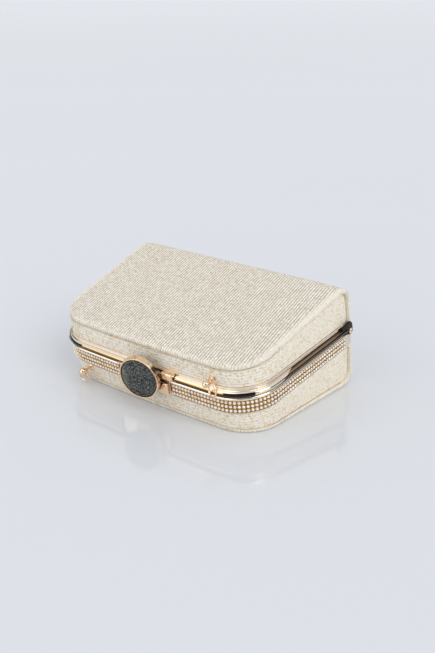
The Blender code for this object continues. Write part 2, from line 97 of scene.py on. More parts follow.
# ------------------------------------------------------------------------------------ shape of the bag
@dataclass(frozen=True)
class BagShape:
    """Driving sizes of the bag, in millimetres and degrees, and the outlines that follow from them."""

    half_w: float = 90.0
    depth: float = 110.0
    corner_r: float = 26.0
    bow: float = 2.2
    flare: float = 3.3
    wedge: float = 7.65
    t_low: float = 27.6
    t_up: float = 19.8
    bend_r: float = 10.3
    wrap_t: float = 3.0
    back_gap: float = 2.0
    frame_half_w: float = 87.4
    frame_flare: float = 1.75
    pivot_y: float = 107.2

    def matrix(self) -> Matrix:
        """Placement of the bag frame, in millimetres, in the row frame."""
        hinge = next(j for j in frame["joints"] if j["name"] == "lid_hinge")
        turn = Matrix.Scale(MM, 4) @ Matrix.Rotation(math.radians(self.wedge), 4, "X")
        shift = Vector(hinge["pos_m"]) - turn @ Vector((0.0, self.pivot_y, 0.0))
        return Matrix.Translation(shift) @ turn

    def to_row(self, points: Points) -> Points:
        """Bag-frame points in millimetres as row-frame points in metres."""
        m = np.array(self.matrix(), float)
        return np.asarray(points, float) @ m[:3, :3].T + m[:3, 3]

    def spot(self, x: float, y: float, z: float) -> Vector:
        """One bag-frame point as a row-frame vector."""
        return self.matrix() @ Vector((x, y, z))

    def thick(self, half: Half) -> float:
        """Thickness of a half at the front edge."""
        return self.t_low if half is Half.LOWER else self.t_up

    def outline_facts(self, half_w: float, flare: float) -> tuple[float, float, float, float, float]:
        """Radius of the front arc, corner centre x and y, and the corner's first and last angle."""
        tilt = math.radians(flare)
        w = half_w - (self.depth - self.corner_r) * math.tan(tilt)
        front_r = (w * w + self.bow * self.bow) / (2.0 * self.bow)
        low, high = -5.0, 60.0
        for _ in range(60):
            mid = 0.5 * (low + high)
            cx = half_w - (self.depth - mid) * math.tan(tilt) - self.corner_r * math.cos(tilt)
            cy = mid + self.corner_r * math.sin(tilt)
            if math.hypot(cx, cy - front_r) > front_r - self.corner_r:
                low = mid
            else:
                high = mid
        return front_r, cx, cy, math.atan2(cx, front_r - cy), 0.5 * math.pi - tilt

    def plan(self, off: float, y_end: float, front: int = 28, corner: int = 36, side: int = 10) -> Points:
        """Right half of the frame line moved outwards.

        Args:
            off: distance outwards from the line of the frame.
            y_end: where the side ends at the rear.
            front: steps over half of the front.
            corner: steps over the corner.
            side: steps along the side.

        Returns:
            Points (x, y) from the middle of the front to the rear.
        """
        front_r, cx, cy, first, last = self.outline_facts(self.frame_half_w, self.frame_flare)
        a = np.linspace(0.0, first, front, endpoint=False)
        arc = np.stack([(front_r + off) * np.sin(a), front_r - (front_r + off) * np.cos(a)], 1)
        b = np.linspace(first, last, corner)
        r = self.corner_r + off
        turn = np.stack([cx + r * np.sin(b), cy - r * np.cos(b)], 1)
        y = np.linspace(turn[-1, 1], y_end, side + 1)[1:]
        x = turn[-1, 0] + (y - turn[-1, 1]) * math.tan(math.radians(self.frame_flare))
        return np.vstack([arc, turn, np.stack([x, y], 1)])

    def full_plan(self, off: float, y_end: float, **steps: int) -> Points:
        """The frame line from the rear left round the front to the rear right."""
        right = self.plan(off, y_end, **steps)
        left = right[1:][::-1] * np.array([-1.0, 1.0])
        return np.vstack([left, right])

    def bend_centre(self, half: Half) -> tuple[float, float]:
        """Centre (y, z) of the rear bend, with z taken as depth below the split."""
        a = math.radians(self.wedge)
        y = self.depth - self.bend_r
        z = (self.bend_r - self.thick(half) * math.cos(a) - y * math.sin(a)) / math.cos(a)
        return y, z


BAG = BagShape()


# ------------------------------------------------------------------------------------ mesh helpers
def deselect() -> None:
    """Leaves object mode with nothing selected and nothing active."""
    if bpy.context.object and bpy.context.object.mode != "OBJECT":
        bpy.ops.object.mode_set(mode="OBJECT")
    for obj in bpy.context.selected_objects:
        obj.select_set(False)
    bpy.context.view_layer.objects.active = None


def activate(obj: bpy.types.Object) -> None:
    """Makes one object the only selected and active one."""
    deselect()
    obj.select_set(True)
    bpy.context.view_layer.objects.active = obj


def smooth_by_angle(obj: bpy.types.Object, degrees: float) -> None:
    """Shades an object smooth below an angle between faces."""
    activate(obj)
    bpy.ops.object.shade_smooth_by_angle(angle=math.radians(degrees))


def mesh_piece(
    name: str, verts: Points, faces: Iterable[Sequence[int]], uv: Points | None = None
) -> bpy.types.Object:
    """A piece from bag-frame points in millimetres.

    Args:
        name: name of the piece.
        verts: points, one row each.
        faces: corner indices of each face.
        uv: one (u, v) per point, in millimetres of cloth, stored in decimetres.

    Returns:
        The new object, at the origin, with its place in its mesh.
    """
    mesh = bpy.data.meshes.new(name)
    mesh.from_pydata(BAG.to_row(verts).tolist(), [], [list(f) for f in faces])
    if uv is not None:
        layer = mesh.uv_layers.new(name="UVMap")
        index = np.zeros(len(mesh.loops), np.int32)
        mesh.loops.foreach_get("vertex_index", index)
        layer.data.foreach_set("uv", (np.asarray(uv, float)[index] / 100.0).astype(np.float32).ravel())
    obj = bpy.data.objects.new(name, mesh)
    bpy.context.scene.collection.objects.link(obj)
    face_outwards(obj)
    return obj


def paint(obj: bpy.types.Object, name: str, values: Points) -> None:
    """Stores one number per point of a piece's mesh."""
    layer = obj.data.attributes.new(name, "FLOAT", "POINT")
    layer.data.foreach_set("value", np.asarray(values, np.float32))


def face_outwards(obj: bpy.types.Object) -> None:
    """Turns all normals of a closed mesh outwards."""
    bm = bmesh.new()
    bm.from_mesh(obj.data)
    bmesh.ops.recalc_face_normals(bm, faces=bm.faces)
    if bm.calc_volume(signed=True) < 0.0:
        bmesh.ops.reverse_faces(bm, faces=bm.faces)
    bm.to_mesh(obj.data)
    bm.free()


def grid_faces(rows: int, cols: int, start: int = 0, loop: bool = False) -> list[tuple[int, int, int, int]]:
    """Quads of a grid of points stored row by row; loop closes each row on itself."""
    faces = []
    for i in range(rows - 1):
        for j in range(cols if loop else cols - 1):
            k = (j + 1) % cols
            near, far = start + i * cols, start + (i + 1) * cols
            faces.append((near + j, near + k, far + k, far + j))
    return faces


def end_caps(count: int, n: int) -> list[tuple[int, ...]]:
    """The first and last ring of a tube of count rings with n points each.

    Args:
        count: number of rings.
        n: points in a ring.

    Returns:
        The two faces.
    """
    return [tuple(range(n)), tuple(range((count - 1) * n, count * n))]


def sheet_faces(rows: int, cols: int) -> list[Sequence[int]]:
    """Faces of a thin sheet: a grid of points, a second grid behind it, and the rim between them.

    Args:
        rows: points along the sheet.
        cols: points across the sheet.

    Returns:
        The faces, with the second grid's points after the first grid's.
    """
    n = rows * cols
    faces: list[Sequence[int]] = list(grid_faces(rows, cols))
    faces += [tuple(n + k for k in reversed(f)) for f in grid_faces(rows, cols)]
    rim = list(range(cols)) + [i * cols + cols - 1 for i in range(1, rows)]
    rim += [(rows - 1) * cols + j for j in range(cols - 2, -1, -1)]
    rim += [i * cols for i in range(rows - 2, 0, -1)]
    faces += [(a, n + a, n + b, b) for a, b in zip(rim, rim[1:] + rim[:1])]
    return faces


def distances(points: Points) -> Points:
    """Distance along a line of points from its first point.

    Args:
        points: the line, one row per point.

    Returns:
        One distance per point.
    """
    return np.concatenate([[0.0], np.cumsum(np.hypot(*np.diff(points, axis=0).T))])


def swept(
    name: str, section: Sequence[tuple[float, float]], line: Callable[[float], Points], begin: float = 0.0
) -> bpy.types.Object:
    """A closed section carried along the frame line, with both ends capped.

    Args:
        name: name of the piece.
        section: corners (distance outwards, z).
        line: gives the plan points for a distance outwards, always the same number of them.
        begin: distance along the line at its first point, kept in the UV map.
    """
    rails = [line(off) for off, _ in section]
    count, n = len(rails[0]), len(section)
    verts = np.zeros((count, n, 3))
    for j, (rail, (_, z)) in enumerate(zip(rails, section)):
        verts[:, j, :2] = rail
        verts[:, j, 2] = z
    faces = list(grid_faces(count, n, loop=True)) + end_caps(count, n)
    along = begin + distances(verts[:, 0, :2])
    across = distances(np.array(section))
    uv = np.stack(np.meshgrid(along, across, indexing="ij"), -1)
    return mesh_piece(name, verts.reshape(-1, 3), faces, uv.reshape(-1, 2))


def side_line(x_start: float, side: float, y_end: float) -> Callable[[float], Points]:
    """A plan line from a distance beside the clasp to the rear, on one side."""

    def line(off: float) -> Points:
        pts = BAG.plan(off, y_end, front=60, corner=44, side=14)
        y0 = np.interp(x_start, pts[:60, 0], pts[:60, 1])
        kept = pts[BAG.plan(0.0, y_end, front=60, corner=44, side=14)[:, 0] > x_start + 0.4]
        return np.vstack([[x_start, y0], kept]) * np.array([side, 1.0])

    return line


def arc_points(
    centre: tuple[float, float], radius: float, first: float, last: float, steps: int
) -> list[tuple[float, float]]:
    """Points on an arc, angles in degrees."""
    return [
        (centre[0] + radius * math.cos(math.radians(a)), centre[1] + radius * math.sin(math.radians(a)))
        for a in np.linspace(first, last, steps)
    ]


def turned(
    name: str, profile: Sequence[tuple[float, float]], centre: tuple[float, float], steps: int
) -> bpy.types.Object:
    """A piece spun from a profile about an axis along y.

    Args:
        name: name of the piece.
        profile: corners (radius, distance in front), first and last on the axis.
        centre: the axis' x and z.
        steps: how many steps the spin takes.
    """
    deselect()
    mesh = bpy.data.meshes.new(name)
    x, z = centre
    verts = [(x + r, -u, z) for r, u in profile]
    mesh.from_pydata(verts, [(k, k + 1) for k in range(len(verts) - 1)], [])
    obj = bpy.data.objects.new(name, mesh)
    bpy.context.scene.collection.objects.link(obj)
    activate(obj)
    bpy.ops.object.mode_set(mode="EDIT")
    bpy.ops.mesh.select_all(action="SELECT")
    bpy.ops.mesh.spin(steps=steps, angle=2.0 * math.pi, center=(x, 0.0, z), axis=(0.0, 1.0, 0.0))
    bpy.ops.mesh.select_all(action="SELECT")
    bpy.ops.mesh.remove_doubles(threshold=1e-4)
    bpy.ops.mesh.normals_make_consistent(inside=False)
    bpy.ops.object.mode_set(mode="OBJECT")
    mesh.transform(BAG.matrix())
    face_outwards(obj)
    return obj


def bevel_edges(obj: bpy.types.Object, width: float, segments: int) -> None:
    """Rounds the sharp edges of a piece.

    Args:
        obj: the piece.
        width: bevel width in the mesh's own units.
        segments: faces across each edge.
    """
    bevel = obj.modifiers.new("edges", "BEVEL")
    bevel.width = width
    bevel.segments = segments
    bevel.limit_method = "ANGLE"
    activate(obj)
    bpy.ops.object.modifier_apply(modifier=bevel.name)


def block(
    name: str,
    xs: tuple[float, float],
    ys: tuple[float, float],
    zs: tuple[float, float],
    edge: float,
    segments: int = 4,
) -> bpy.types.Object:
    """A block with rounded edges, placed by its bag-frame limits."""
    deselect()
    centre = [0.5 * (a + b) for a, b in (xs, ys, zs)]
    bpy.ops.mesh.primitive_cube_add(size=1.0, location=(0.0, 0.0, 0.0))
    obj = bpy.context.object
    obj.name = name
    obj.data.name = name
    size = Matrix.Diagonal((xs[1] - xs[0], ys[1] - ys[0], zs[1] - zs[0], 1.0))
    obj.data.transform(Matrix.Translation(centre) @ size)
    bevel_edges(obj, edge, segments)
    obj.data.transform(BAG.matrix())
    smooth_by_angle(obj, 40.0)
    return obj


def combine(base: bpy.types.Object, other: bpy.types.Object, name: str, operation: str) -> None:
    """Applies one boolean to a piece and removes the other piece.

    Args:
        base: the piece that stays.
        other: the piece that is used up.
        name: name of the modifier.
        operation: "UNION" or "DIFFERENCE".
    """
    modifier = base.modifiers.new(name, "BOOLEAN")
    modifier.operation = operation
    modifier.solver = "EXACT"
    modifier.object = other
    activate(base)
    bpy.ops.object.modifier_apply(modifier=modifier.name)
    bpy.data.objects.remove(other)


def joined(name: str, parts: Sequence[bpy.types.Object]) -> bpy.types.Object:
    """Unites overlapping parts into one closed piece."""
    base = parts[0]
    for part in parts[1:]:
        combine(base, part, "join", "UNION")
    base.name = name
    base.data.name = name
    return base


def cut_by(obj: bpy.types.Object, tools: Sequence[bpy.types.Object]) -> bpy.types.Object:
    """Takes the tools' space out of a piece and removes the tools."""
    for tool in tools:
        combine(obj, tool, "bore", "DIFFERENCE")
    return obj


def rod(
    name: str, radius: float, xs: tuple[float, float], at: tuple[float, float], edge: float, steps: int = 40
) -> bpy.types.Object:
    """A round rod along x through (y, z), with broken end edges."""
    deselect()
    bpy.ops.mesh.primitive_cylinder_add(
        vertices=steps, radius=radius, depth=xs[1] - xs[0], location=(0.0, 0.0, 0.0)
    )
    obj = bpy.context.object
    obj.name = name
    obj.data.name = name
    middle = Matrix.Translation((0.5 * (xs[0] + xs[1]), at[0], at[1]))
    obj.data.transform(middle @ Matrix.Rotation(0.5 * math.pi, 4, "Y"))
    if edge > 0.0:
        bevel_edges(obj, edge, 3)
    obj.data.transform(BAG.matrix())
    smooth_by_angle(obj, 40.0)
    return obj


def dress(
    obj: bpy.types.Object, material: bpy.types.Material, body: Body, slot: Slot, *nodes: str
) -> bpy.types.Object:
    """Gives a piece its material and its body, and hides the CAD nodes it stands for."""
    obj.data.materials.clear()
    obj.data.materials.append(material)
    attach(obj, body.value)
    if nodes:
        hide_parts(*nodes)
    LOG.info("%s rides on %s", obj.name, body.value)
    return obj


# ------------------------------------------------------------------------------------ shader helpers
class Graph:
    """Short calls for building one node tree."""

    def __init__(self, tree: bpy.types.NodeTree) -> None:
        """Keeps the tree that nodes are added to."""
        self.tree = tree

    def node(self, kind: str, **settings: object) -> bpy.types.Node:
        """Adds a node and sets its properties."""
        node = self.tree.nodes.new(kind)
        for key, value in settings.items():
            setattr(node, key, value)
        return node

    def feed(self, socket: bpy.types.NodeSocket, value: object) -> None:
        """Links a socket to another, or sets its value."""
        if isinstance(value, bpy.types.NodeSocket):
            self.tree.links.new(value, socket)
        else:
            socket.default_value = value

    def math(self, operation: str, a: object, b: object = 0.0, c: object = 0.0) -> bpy.types.NodeSocket:
        """A Math node's result."""
        node = self.node("ShaderNodeMath", operation=operation)
        for socket, value in zip(node.inputs, (a, b, c)):
            self.feed(socket, value)
        return node.outputs[0]

    def mix(self, factor: object, a: object, b: object, blend: str = "MIX") -> bpy.types.NodeSocket:
        """A colour mix."""
        node = self.node("ShaderNodeMix", data_type="RGBA", blend_type=blend)
        self.feed(node.inputs[0], factor)
        self.feed(node.inputs[6], a)
        self.feed(node.inputs[7], b)
        return node.outputs[2]

    def scaled(self, vector: object, x: float, y: float, z: float) -> bpy.types.NodeSocket:
        """A vector multiplied per axis."""
        node = self.node("ShaderNodeVectorMath", operation="MULTIPLY")
        self.feed(node.inputs[0], vector)
        node.inputs[1].default_value = (x, y, z)
        return node.outputs[0]

    def noise(self, vector: object, scale: float, detail: float = 2.0) -> bpy.types.NodeSocket:
        """A noise value about one half."""
        node = self.node("ShaderNodeTexNoise")
        self.feed(node.inputs["Vector"], vector)
        node.inputs["Scale"].default_value = scale
        node.inputs["Detail"].default_value = detail
        return node.outputs[0]

    def remap(
        self, value: object, low: float, high: float, to_low: float = 0.0, to_high: float = 1.0
    ) -> bpy.types.NodeSocket:
        """A value mapped smoothly from one range to another."""
        node = self.node("ShaderNodeMapRange", interpolation_type="SMOOTHSTEP")
        for socket, v in zip(node.inputs, (value, low, high, to_low, to_high)):
            self.feed(socket, v)
        return node.outputs[0]


def new_group(
    name: str, inputs: dict[str, float], outputs: dict[str, str]
) -> tuple[bpy.types.NodeTree, Graph, bpy.types.Node, bpy.types.Node]:
    """An empty shader node group with a Vector input, named number inputs and named outputs."""
    tree = bpy.data.node_groups.new(name, "ShaderNodeTree")
    tree.interface.new_socket(name="Vector", in_out="INPUT", socket_type="NodeSocketVector")
    for key, value in inputs.items():
        socket = tree.interface.new_socket(name=key, in_out="INPUT", socket_type="NodeSocketFloat")
        socket.default_value = value
    for key, kind in outputs.items():
        tree.interface.new_socket(name=key, in_out="OUTPUT", socket_type=kind)
    graph = Graph(tree)
    return tree, graph, graph.node("NodeGroupInput"), graph.node("NodeGroupOutput")


class Effects:
    """Node groups that several finishes share."""

    def __init__(self) -> None:
        """Builds each group once."""
        self.lurex = self._lurex()
        self.polish = self._polish()

    @staticmethod
    def _lurex() -> bpy.types.NodeTree:
        """Ribbed lurex weave measured in millimetres: x across the ribs, y along them, with painted shade
        darkening the hollows between the ribs.
        """
        tree, g, given, result = new_group(
            "lurex_ribs",
            {"Pitch": 2.0, "Contrast": 1.0, "Gold Share": 0.06, "Variation": 1.0, "Splits": 3.0, "Gold": 1.0},
            {"Color": "NodeSocketColor", "Height": "NodeSocketFloat", "Metal": "NodeSocketFloat"},
        )
        split = g.node("ShaderNodeSeparateXYZ")
        g.feed(split.inputs[0], given.outputs["Vector"])
        phase = g.math("DIVIDE", split.outputs[0], given.outputs["Pitch"])
        rib = g.math("FLOOR", phase)
        cord = g.math("ABSOLUTE", g.math("SINE", g.math("MULTIPLY", phase, math.pi)))
        rib_valley_painted_shade = g.remap(cord, 0.12, 0.8, 1.0, 0.0)
        by_rib = g.node("ShaderNodeTexWhiteNoise", noise_dimensions="1D")
        g.feed(by_rib.inputs["W"], rib)
        slub = Effects.cells(g, rib, g.math("MULTIPLY_ADD", split.outputs[1], 0.62, by_rib.outputs["Value"]))
        strand = g.math("FLOOR", g.math("MULTIPLY", phase, given.outputs["Splits"]))
        fine = Effects.cells(g, strand, g.math("MULTIPLY", split.outputs[1], 1.2))
        spark = Effects.cells(g, strand, g.math("MULTIPLY_ADD", split.outputs[1], 0.95, 31.0))
        vary = given.outputs["Variation"]
        share = g.math("MULTIPLY_ADD", g.math("SUBTRACT", slub, 0.5), vary, 0.5)
        ridge = g.mix(share, (0.755, 0.705, 0.61, 1.0), (0.875, 0.84, 0.775, 1.0))
        pale = g.math("MULTIPLY", g.math("GREATER_THAN", fine, 0.88), vary)
        ridge = g.mix(pale, ridge, (0.96, 0.95, 0.93, 1.0))
        dull = g.math("MULTIPLY", g.math("LESS_THAN", fine, 0.1), vary)
        ridge = g.mix(dull, ridge, (0.55, 0.50, 0.43, 1.0))
        gold = g.math("LESS_THAN", spark, given.outputs["Gold Share"])
        ridge = g.mix(g.math("MULTIPLY", gold, given.outputs["Gold"]), ridge, (0.74, 0.58, 0.32, 1.0))
        # Painted shade: the colour darkens towards grey-brown in the hollows between the ribs.
        depth = g.math("MULTIPLY", rib_valley_painted_shade, g.math("MULTIPLY_ADD", slub, -0.35, 1.0))
        depth = g.math("MULTIPLY", depth, given.outputs["Contrast"])
        g.feed(result.inputs["Color"], g.mix(depth, ridge, (0.33, 0.285, 0.225, 1.0)))
        yarn = g.math("ABSOLUTE", g.math("SINE", g.math("MULTIPLY", split.outputs[1], 3.6)))
        relief = g.math("MULTIPLY", cord, given.outputs["Contrast"])
        g.feed(result.inputs["Height"], g.math("MULTIPLY_ADD", yarn, g.math("MULTIPLY", vary, 0.3), relief))
        g.feed(result.inputs["Metal"], g.math("MAXIMUM", gold, g.math("GREATER_THAN", fine, 0.93)))
        return tree

    @staticmethod
    def cells(g: Graph, column: object, along: object) -> bpy.types.NodeSocket:
        """One random value per cell of a column and a run along it."""
        cell = g.node("ShaderNodeCombineXYZ")
        g.feed(cell.inputs[0], column)
        g.feed(cell.inputs[1], g.math("FLOOR", along))
        pick = g.node("ShaderNodeTexWhiteNoise", noise_dimensions="2D")
        g.feed(pick.inputs["Vector"], cell.outputs[0])
        return pick.outputs["Value"]

    @staticmethod
    def _polish() -> bpy.types.NodeTree:
        """Faint hairlines and clouds on plated metal, as a roughness change and a height."""
        tree, g, given, result = new_group(
            "plate_polish",
            {"Base Roughness": 0.1, "Spread": 0.05},
            {"Roughness": "NodeSocketFloat", "Height": "NodeSocketFloat"},
        )
        clouds = g.noise(given.outputs["Vector"], 60.0, 3.0)
        hair = g.noise(g.scaled(given.outputs["Vector"], 1.0, 1.0, 14.0), 220.0, 2.0)
        both = g.math("ADD", g.math("MULTIPLY", clouds, 0.7), g.math("MULTIPLY", hair, 0.3))
        centred = g.math("SUBTRACT", both, 0.5)
        rough = g.math("MULTIPLY_ADD", centred, given.outputs["Spread"], given.outputs["Base Roughness"])
        g.feed(result.inputs["Roughness"], g.math("MAXIMUM", rough, 0.03))
        g.feed(result.inputs["Height"], clouds)
        return tree


# ------------------------------------------------------------------------------------ finishes
def new_material(name: str) -> tuple[bpy.types.Material, Graph, bpy.types.Node]:
    """A node material and its Principled shader."""
    material = bpy.data.materials.new(name)
    material.use_nodes = True
    return material, Graph(material.node_tree), material.node_tree.nodes["Principled BSDF"]


@dataclass(frozen=True)
class RibbedCloth:
    """Ribbed lurex cloth laid by the piece's own UV map."""

    name: str
    effects: Effects
    pitch: float = 2.0
    slant: float = 0.0
    contrast: float = 1.0
    gold_share: float = 0.06
    variation: float = 1.0
    splits: float = 3.0
    tint: Rgb = (1.0, 1.0, 1.0)

    def build(self) -> bpy.types.Material:
        """Builds the material."""
        material, g, shader = new_material(self.name)
        uv = g.node("ShaderNodeUVMap", uv_map="UVMap")
        mapping = g.node("ShaderNodeMapping")
        g.feed(mapping.inputs["Vector"], uv.outputs[0])
        mapping.inputs["Scale"].default_value = (100.0, 100.0, 100.0)
        mapping.inputs["Rotation"].default_value = (0.0, 0.0, math.radians(self.slant))
        weave = g.node("ShaderNodeGroup")
        weave.node_tree = self.effects.lurex
        g.feed(weave.inputs["Vector"], mapping.outputs[0])
        weave.inputs["Pitch"].default_value = self.pitch
        fade = g.node("ShaderNodeAttribute", attribute_name="rib_strength")
        g.feed(weave.inputs["Contrast"], g.math("MULTIPLY", fade.outputs["Fac"], self.contrast))
        weave.inputs["Gold Share"].default_value = self.gold_share
        weave.inputs["Splits"].default_value = self.splits
        varied = g.math("MULTIPLY_ADD", fade.outputs["Fac"], 0.65 * self.variation, 0.35 * self.variation)
        g.feed(weave.inputs["Variation"], varied)
        g.feed(weave.inputs["Gold"], g.math("MULTIPLY_ADD", fade.outputs["Fac"], 0.5, 0.5))
        clouds = g.noise(mapping.outputs[0], 0.05, 3.0)
        tone = g.math("MULTIPLY_ADD", g.math("SUBTRACT", clouds, 0.5), 0.07, 1.0)
        value = g.node("ShaderNodeCombineColor")
        for socket, share in zip(value.inputs, self.tint):
            g.feed(socket, g.math("MULTIPLY", tone, share))
        toned = g.mix(1.0, weave.outputs["Color"], value.outputs[0], "MULTIPLY")
        g.feed(shader.inputs["Base Color"], g.mix(1.0, toned, (0.94, 0.93, 0.9, 1.0), "DARKEN"))
        g.feed(shader.inputs["Metallic"], g.math("MULTIPLY", weave.outputs["Metal"], 0.3))
        g.feed(shader.inputs["Roughness"], g.remap(weave.outputs["Metal"], 0.0, 1.0, 0.85, 0.45))
        shader.inputs["Specular IOR Level"].default_value = 0.3
        bump = g.node("ShaderNodeBump")
        bump.inputs["Strength"].default_value = 0.5
        bump.inputs["Distance"].default_value = 0.0002
        g.feed(bump.inputs["Height"], weave.outputs["Height"])
        g.feed(shader.inputs["Normal"], bump.outputs[0])
        return material


@dataclass(frozen=True)
class PlatedMetal:
    """Polished plating."""

    name: str
    effects: Effects
    colour: Rgb
    roughness: float = 0.1
    spread: float = 0.05

    def build(self) -> bpy.types.Material:
        """Builds the material."""
        material, g, shader = new_material(self.name)
        place = g.node("ShaderNodeTexCoord")
        group = g.node("ShaderNodeGroup")
        group.node_tree = self.effects.polish
        g.feed(group.inputs["Vector"], place.outputs["Object"])
        group.inputs["Base Roughness"].default_value = self.roughness
        group.inputs["Spread"].default_value = self.spread
        duller = tuple(c * 0.94 for c in self.colour)
        worn = g.mix(g.noise(place.outputs["Object"], 35.0, 2.0), (*self.colour, 1.0), (*duller, 1.0))
        g.feed(shader.inputs["Base Color"], worn)
        shader.inputs["Metallic"].default_value = 1.0
        g.feed(shader.inputs["Roughness"], group.outputs["Roughness"])
        bump = g.node("ShaderNodeBump")
        bump.inputs["Strength"].default_value = 0.04
        bump.inputs["Distance"].default_value = 0.0002
        g.feed(bump.inputs["Height"], group.outputs["Height"])
        g.feed(shader.inputs["Normal"], bump.outputs[0])
        return material


@dataclass(frozen=True)
class DrumPaintedReflections:
    """Rose gold of the knob's round side, its colour holding painted reflections: a painted highlight and a
    painted dark reflection in stripes across it, and painted shade in its groove.

    The point attribute drum_turn runs from 0 to 1 clockwise from the top, drum_groove is 1 in the groove.
    """

    name: str
    effects: Effects
    # Colours round the side: a painted highlight near 0.10, a painted dark reflection from 0.135 to 0.21, and
    # a darker painted shade near 0.60.
    painted_reflection_bands: tuple[tuple[float, Rgb], ...] = (
        (0.0, (0.90, 0.62, 0.38)),
        (0.05, (0.86, 0.56, 0.31)),
        (0.08, (0.95, 0.70, 0.44)),
        (0.10, (1.0, 0.97, 0.90)),
        (0.12, (1.0, 0.88, 0.68)),
        (0.135, (0.12, 0.07, 0.045)),
        (0.165, (0.06, 0.045, 0.035)),
        (0.185, (0.52, 0.31, 0.19)),
        (0.21, (0.34, 0.21, 0.13)),
        (0.24, (0.88, 0.64, 0.50)),
        (0.40, (0.80, 0.58, 0.42)),
        (0.60, (0.55, 0.36, 0.22)),
        (0.75, (0.90, 0.64, 0.42)),
        (1.0, (0.90, 0.62, 0.38)),
    )
    # Painted shade in the rear groove.
    groove: Rgb = (0.12, 0.06, 0.03)

    def build(self) -> bpy.types.Material:
        """Builds the material.

        Returns:
            The material.
        """
        material, g, shader = new_material(self.name)
        turn = g.node("ShaderNodeAttribute", attribute_name="drum_turn")
        ramp = g.node("ShaderNodeValToRGB")
        elements = ramp.color_ramp.elements
        while len(elements) < len(self.painted_reflection_bands):
            elements.new(0.5)
        for element, (place, colour) in zip(elements, self.painted_reflection_bands):
            element.position = place
            element.color = (*colour, 1.0)
        g.feed(ramp.inputs["Fac"], turn.outputs["Fac"])
        # Painted shade: the groove is darkened.
        deep = g.node("ShaderNodeAttribute", attribute_name="drum_groove")
        colour = g.mix(deep.outputs["Fac"], ramp.outputs["Color"], (*self.groove, 1.0))
        g.feed(shader.inputs["Base Color"], colour)
        shader.inputs["Metallic"].default_value = 1.0
        group = g.node("ShaderNodeGroup")
        group.node_tree = self.effects.polish
        place = g.node("ShaderNodeTexCoord")
        g.feed(group.inputs["Vector"], place.outputs["Object"])
        group.inputs["Base Roughness"].default_value = 0.12
        group.inputs["Spread"].default_value = 0.04
        g.feed(shader.inputs["Roughness"], group.outputs["Roughness"])
        return material


@dataclass(frozen=True)
class GoldBeadPaintedReflections:
    """Polished gold whose colour holds painted reflections: painted highlights near its top, painted shade
    and painted dark reflection that deepen to brown under the roll, and painted dark reflection that goes
    black round the corners, along the sides and towards the rear.

    The UV map holds the distance along the bead and the distance round it from the underside.
    """

    name: str
    # Distances along the bead where the painted dark reflection round the corner begins and ends, and where
    # the painted dark reflection of the side begins.
    corner: tuple[float, float] = (65.6, 84.0)
    side: float = 94.5

    def build(self) -> bpy.types.Material:
        """Builds the material."""
        material, g, shader = new_material(self.name)
        uv = g.node("ShaderNodeUVMap", uv_map="UVMap")
        split = g.node("ShaderNodeSeparateXYZ")
        g.feed(split.inputs[0], g.scaled(uv.outputs[0], 100.0, 100.0, 1.0))
        along, round_ = split.outputs[0], split.outputs[1]
        # Front: painted shade and dark reflection under the roll, then gold, then a painted highlight near
        # the top.
        front = self.ramp(g, round_, [
            (0.0, (0.02, 0.012, 0.008)), (0.48, (0.03, 0.014, 0.006)), (0.52, (0.32, 0.14, 0.03)),
            (0.57, (0.84, 0.44, 0.11)), (0.64, (0.95, 0.67, 0.33)), (0.70, (1.0, 0.93, 0.80)),
            (0.82, (1.0, 0.97, 0.90)), (0.90, (0.80, 0.64, 0.45)),
        ])
        # Corner: painted dark reflection nearly all round, with a thin painted highlight at the top.
        corner = self.ramp(g, round_, [
            (0.0, (0.02, 0.015, 0.01)), (0.12, (0.014, 0.012, 0.01)), (0.22, (0.34, 0.20, 0.08)),
            (0.33, (0.03, 0.02, 0.012)), (0.64, (0.012, 0.01, 0.01)), (0.70, (0.97, 0.9, 0.78)),
            (0.86, (0.9, 0.76, 0.58)),
        ])
        # Past the corner: painted bright reflection with a painted highlight.
        bright = self.ramp(g, round_, [
            (0.0, (1.0, 0.93, 0.8)), (0.20, (0.95, 0.85, 0.68)), (0.30, (0.80, 0.45, 0.12)),
            (0.40, (0.95, 0.75, 0.42)), (0.55, (1.0, 0.95, 0.86)), (0.86, (0.88, 0.74, 0.56)),
        ])
        # Side: painted dark reflection, brown to near black.
        side = self.ramp(g, round_, [
            (0.0, (0.04, 0.02, 0.01)), (0.50, (0.10, 0.05, 0.02)), (0.57, (0.44, 0.23, 0.085)),
            (0.65, (0.35, 0.225, 0.12)), (0.76, (0.26, 0.18, 0.11)), (0.83, (0.12, 0.085, 0.06)),
            (0.87, (0.03, 0.02, 0.015)), (0.93, (0.03, 0.02, 0.015)),
        ])
        # Masks that lay these painted reflections along the bead; towards the rear it is painted near black
        # as painted shade.
        to_corner = g.remap(along, self.corner[0], self.corner[0] + 0.8)
        from_corner = g.remap(along, self.corner[1], self.corner[1] + 0.8)
        first = g.math("MULTIPLY_ADD", round_, 3.0, self.side)
        to_side = g.remap(g.math("SUBTRACT", along, first), -1.0, 1.0)
        to_rear = g.remap(along, 156.0, 178.0)
        colour = g.mix(to_corner, front, corner)
        colour = g.mix(from_corner, colour, bright)
        colour = g.mix(to_side, colour, side)
        colour = g.mix(to_rear, colour, (0.035, 0.028, 0.024, 1.0))
        g.feed(shader.inputs["Base Color"], colour)
        shader.inputs["Metallic"].default_value = 1.0
        shader.inputs["Roughness"].default_value = 0.09
        shader.inputs["Coat Weight"].default_value = 0.25
        shader.inputs["Coat Roughness"].default_value = 0.04
        return material

    @staticmethod
    def ramp(g: Graph, value: object, stops: Sequence[tuple[float, Rgb]]) -> bpy.types.NodeSocket:
        """A colour ramp over the eight millimetres round the bead."""
        node = g.node("ShaderNodeValToRGB")
        elements = node.color_ramp.elements
        elements[0].position, elements[0].color = stops[0][0], (*stops[0][1], 1.0)
        elements.remove(elements[1])
        for place, colour in stops[1:]:
            elements.new(place).color = (*colour, 1.0)
        g.feed(node.inputs[0], g.math("MULTIPLY", value, 0.125))
        return node.outputs[0]


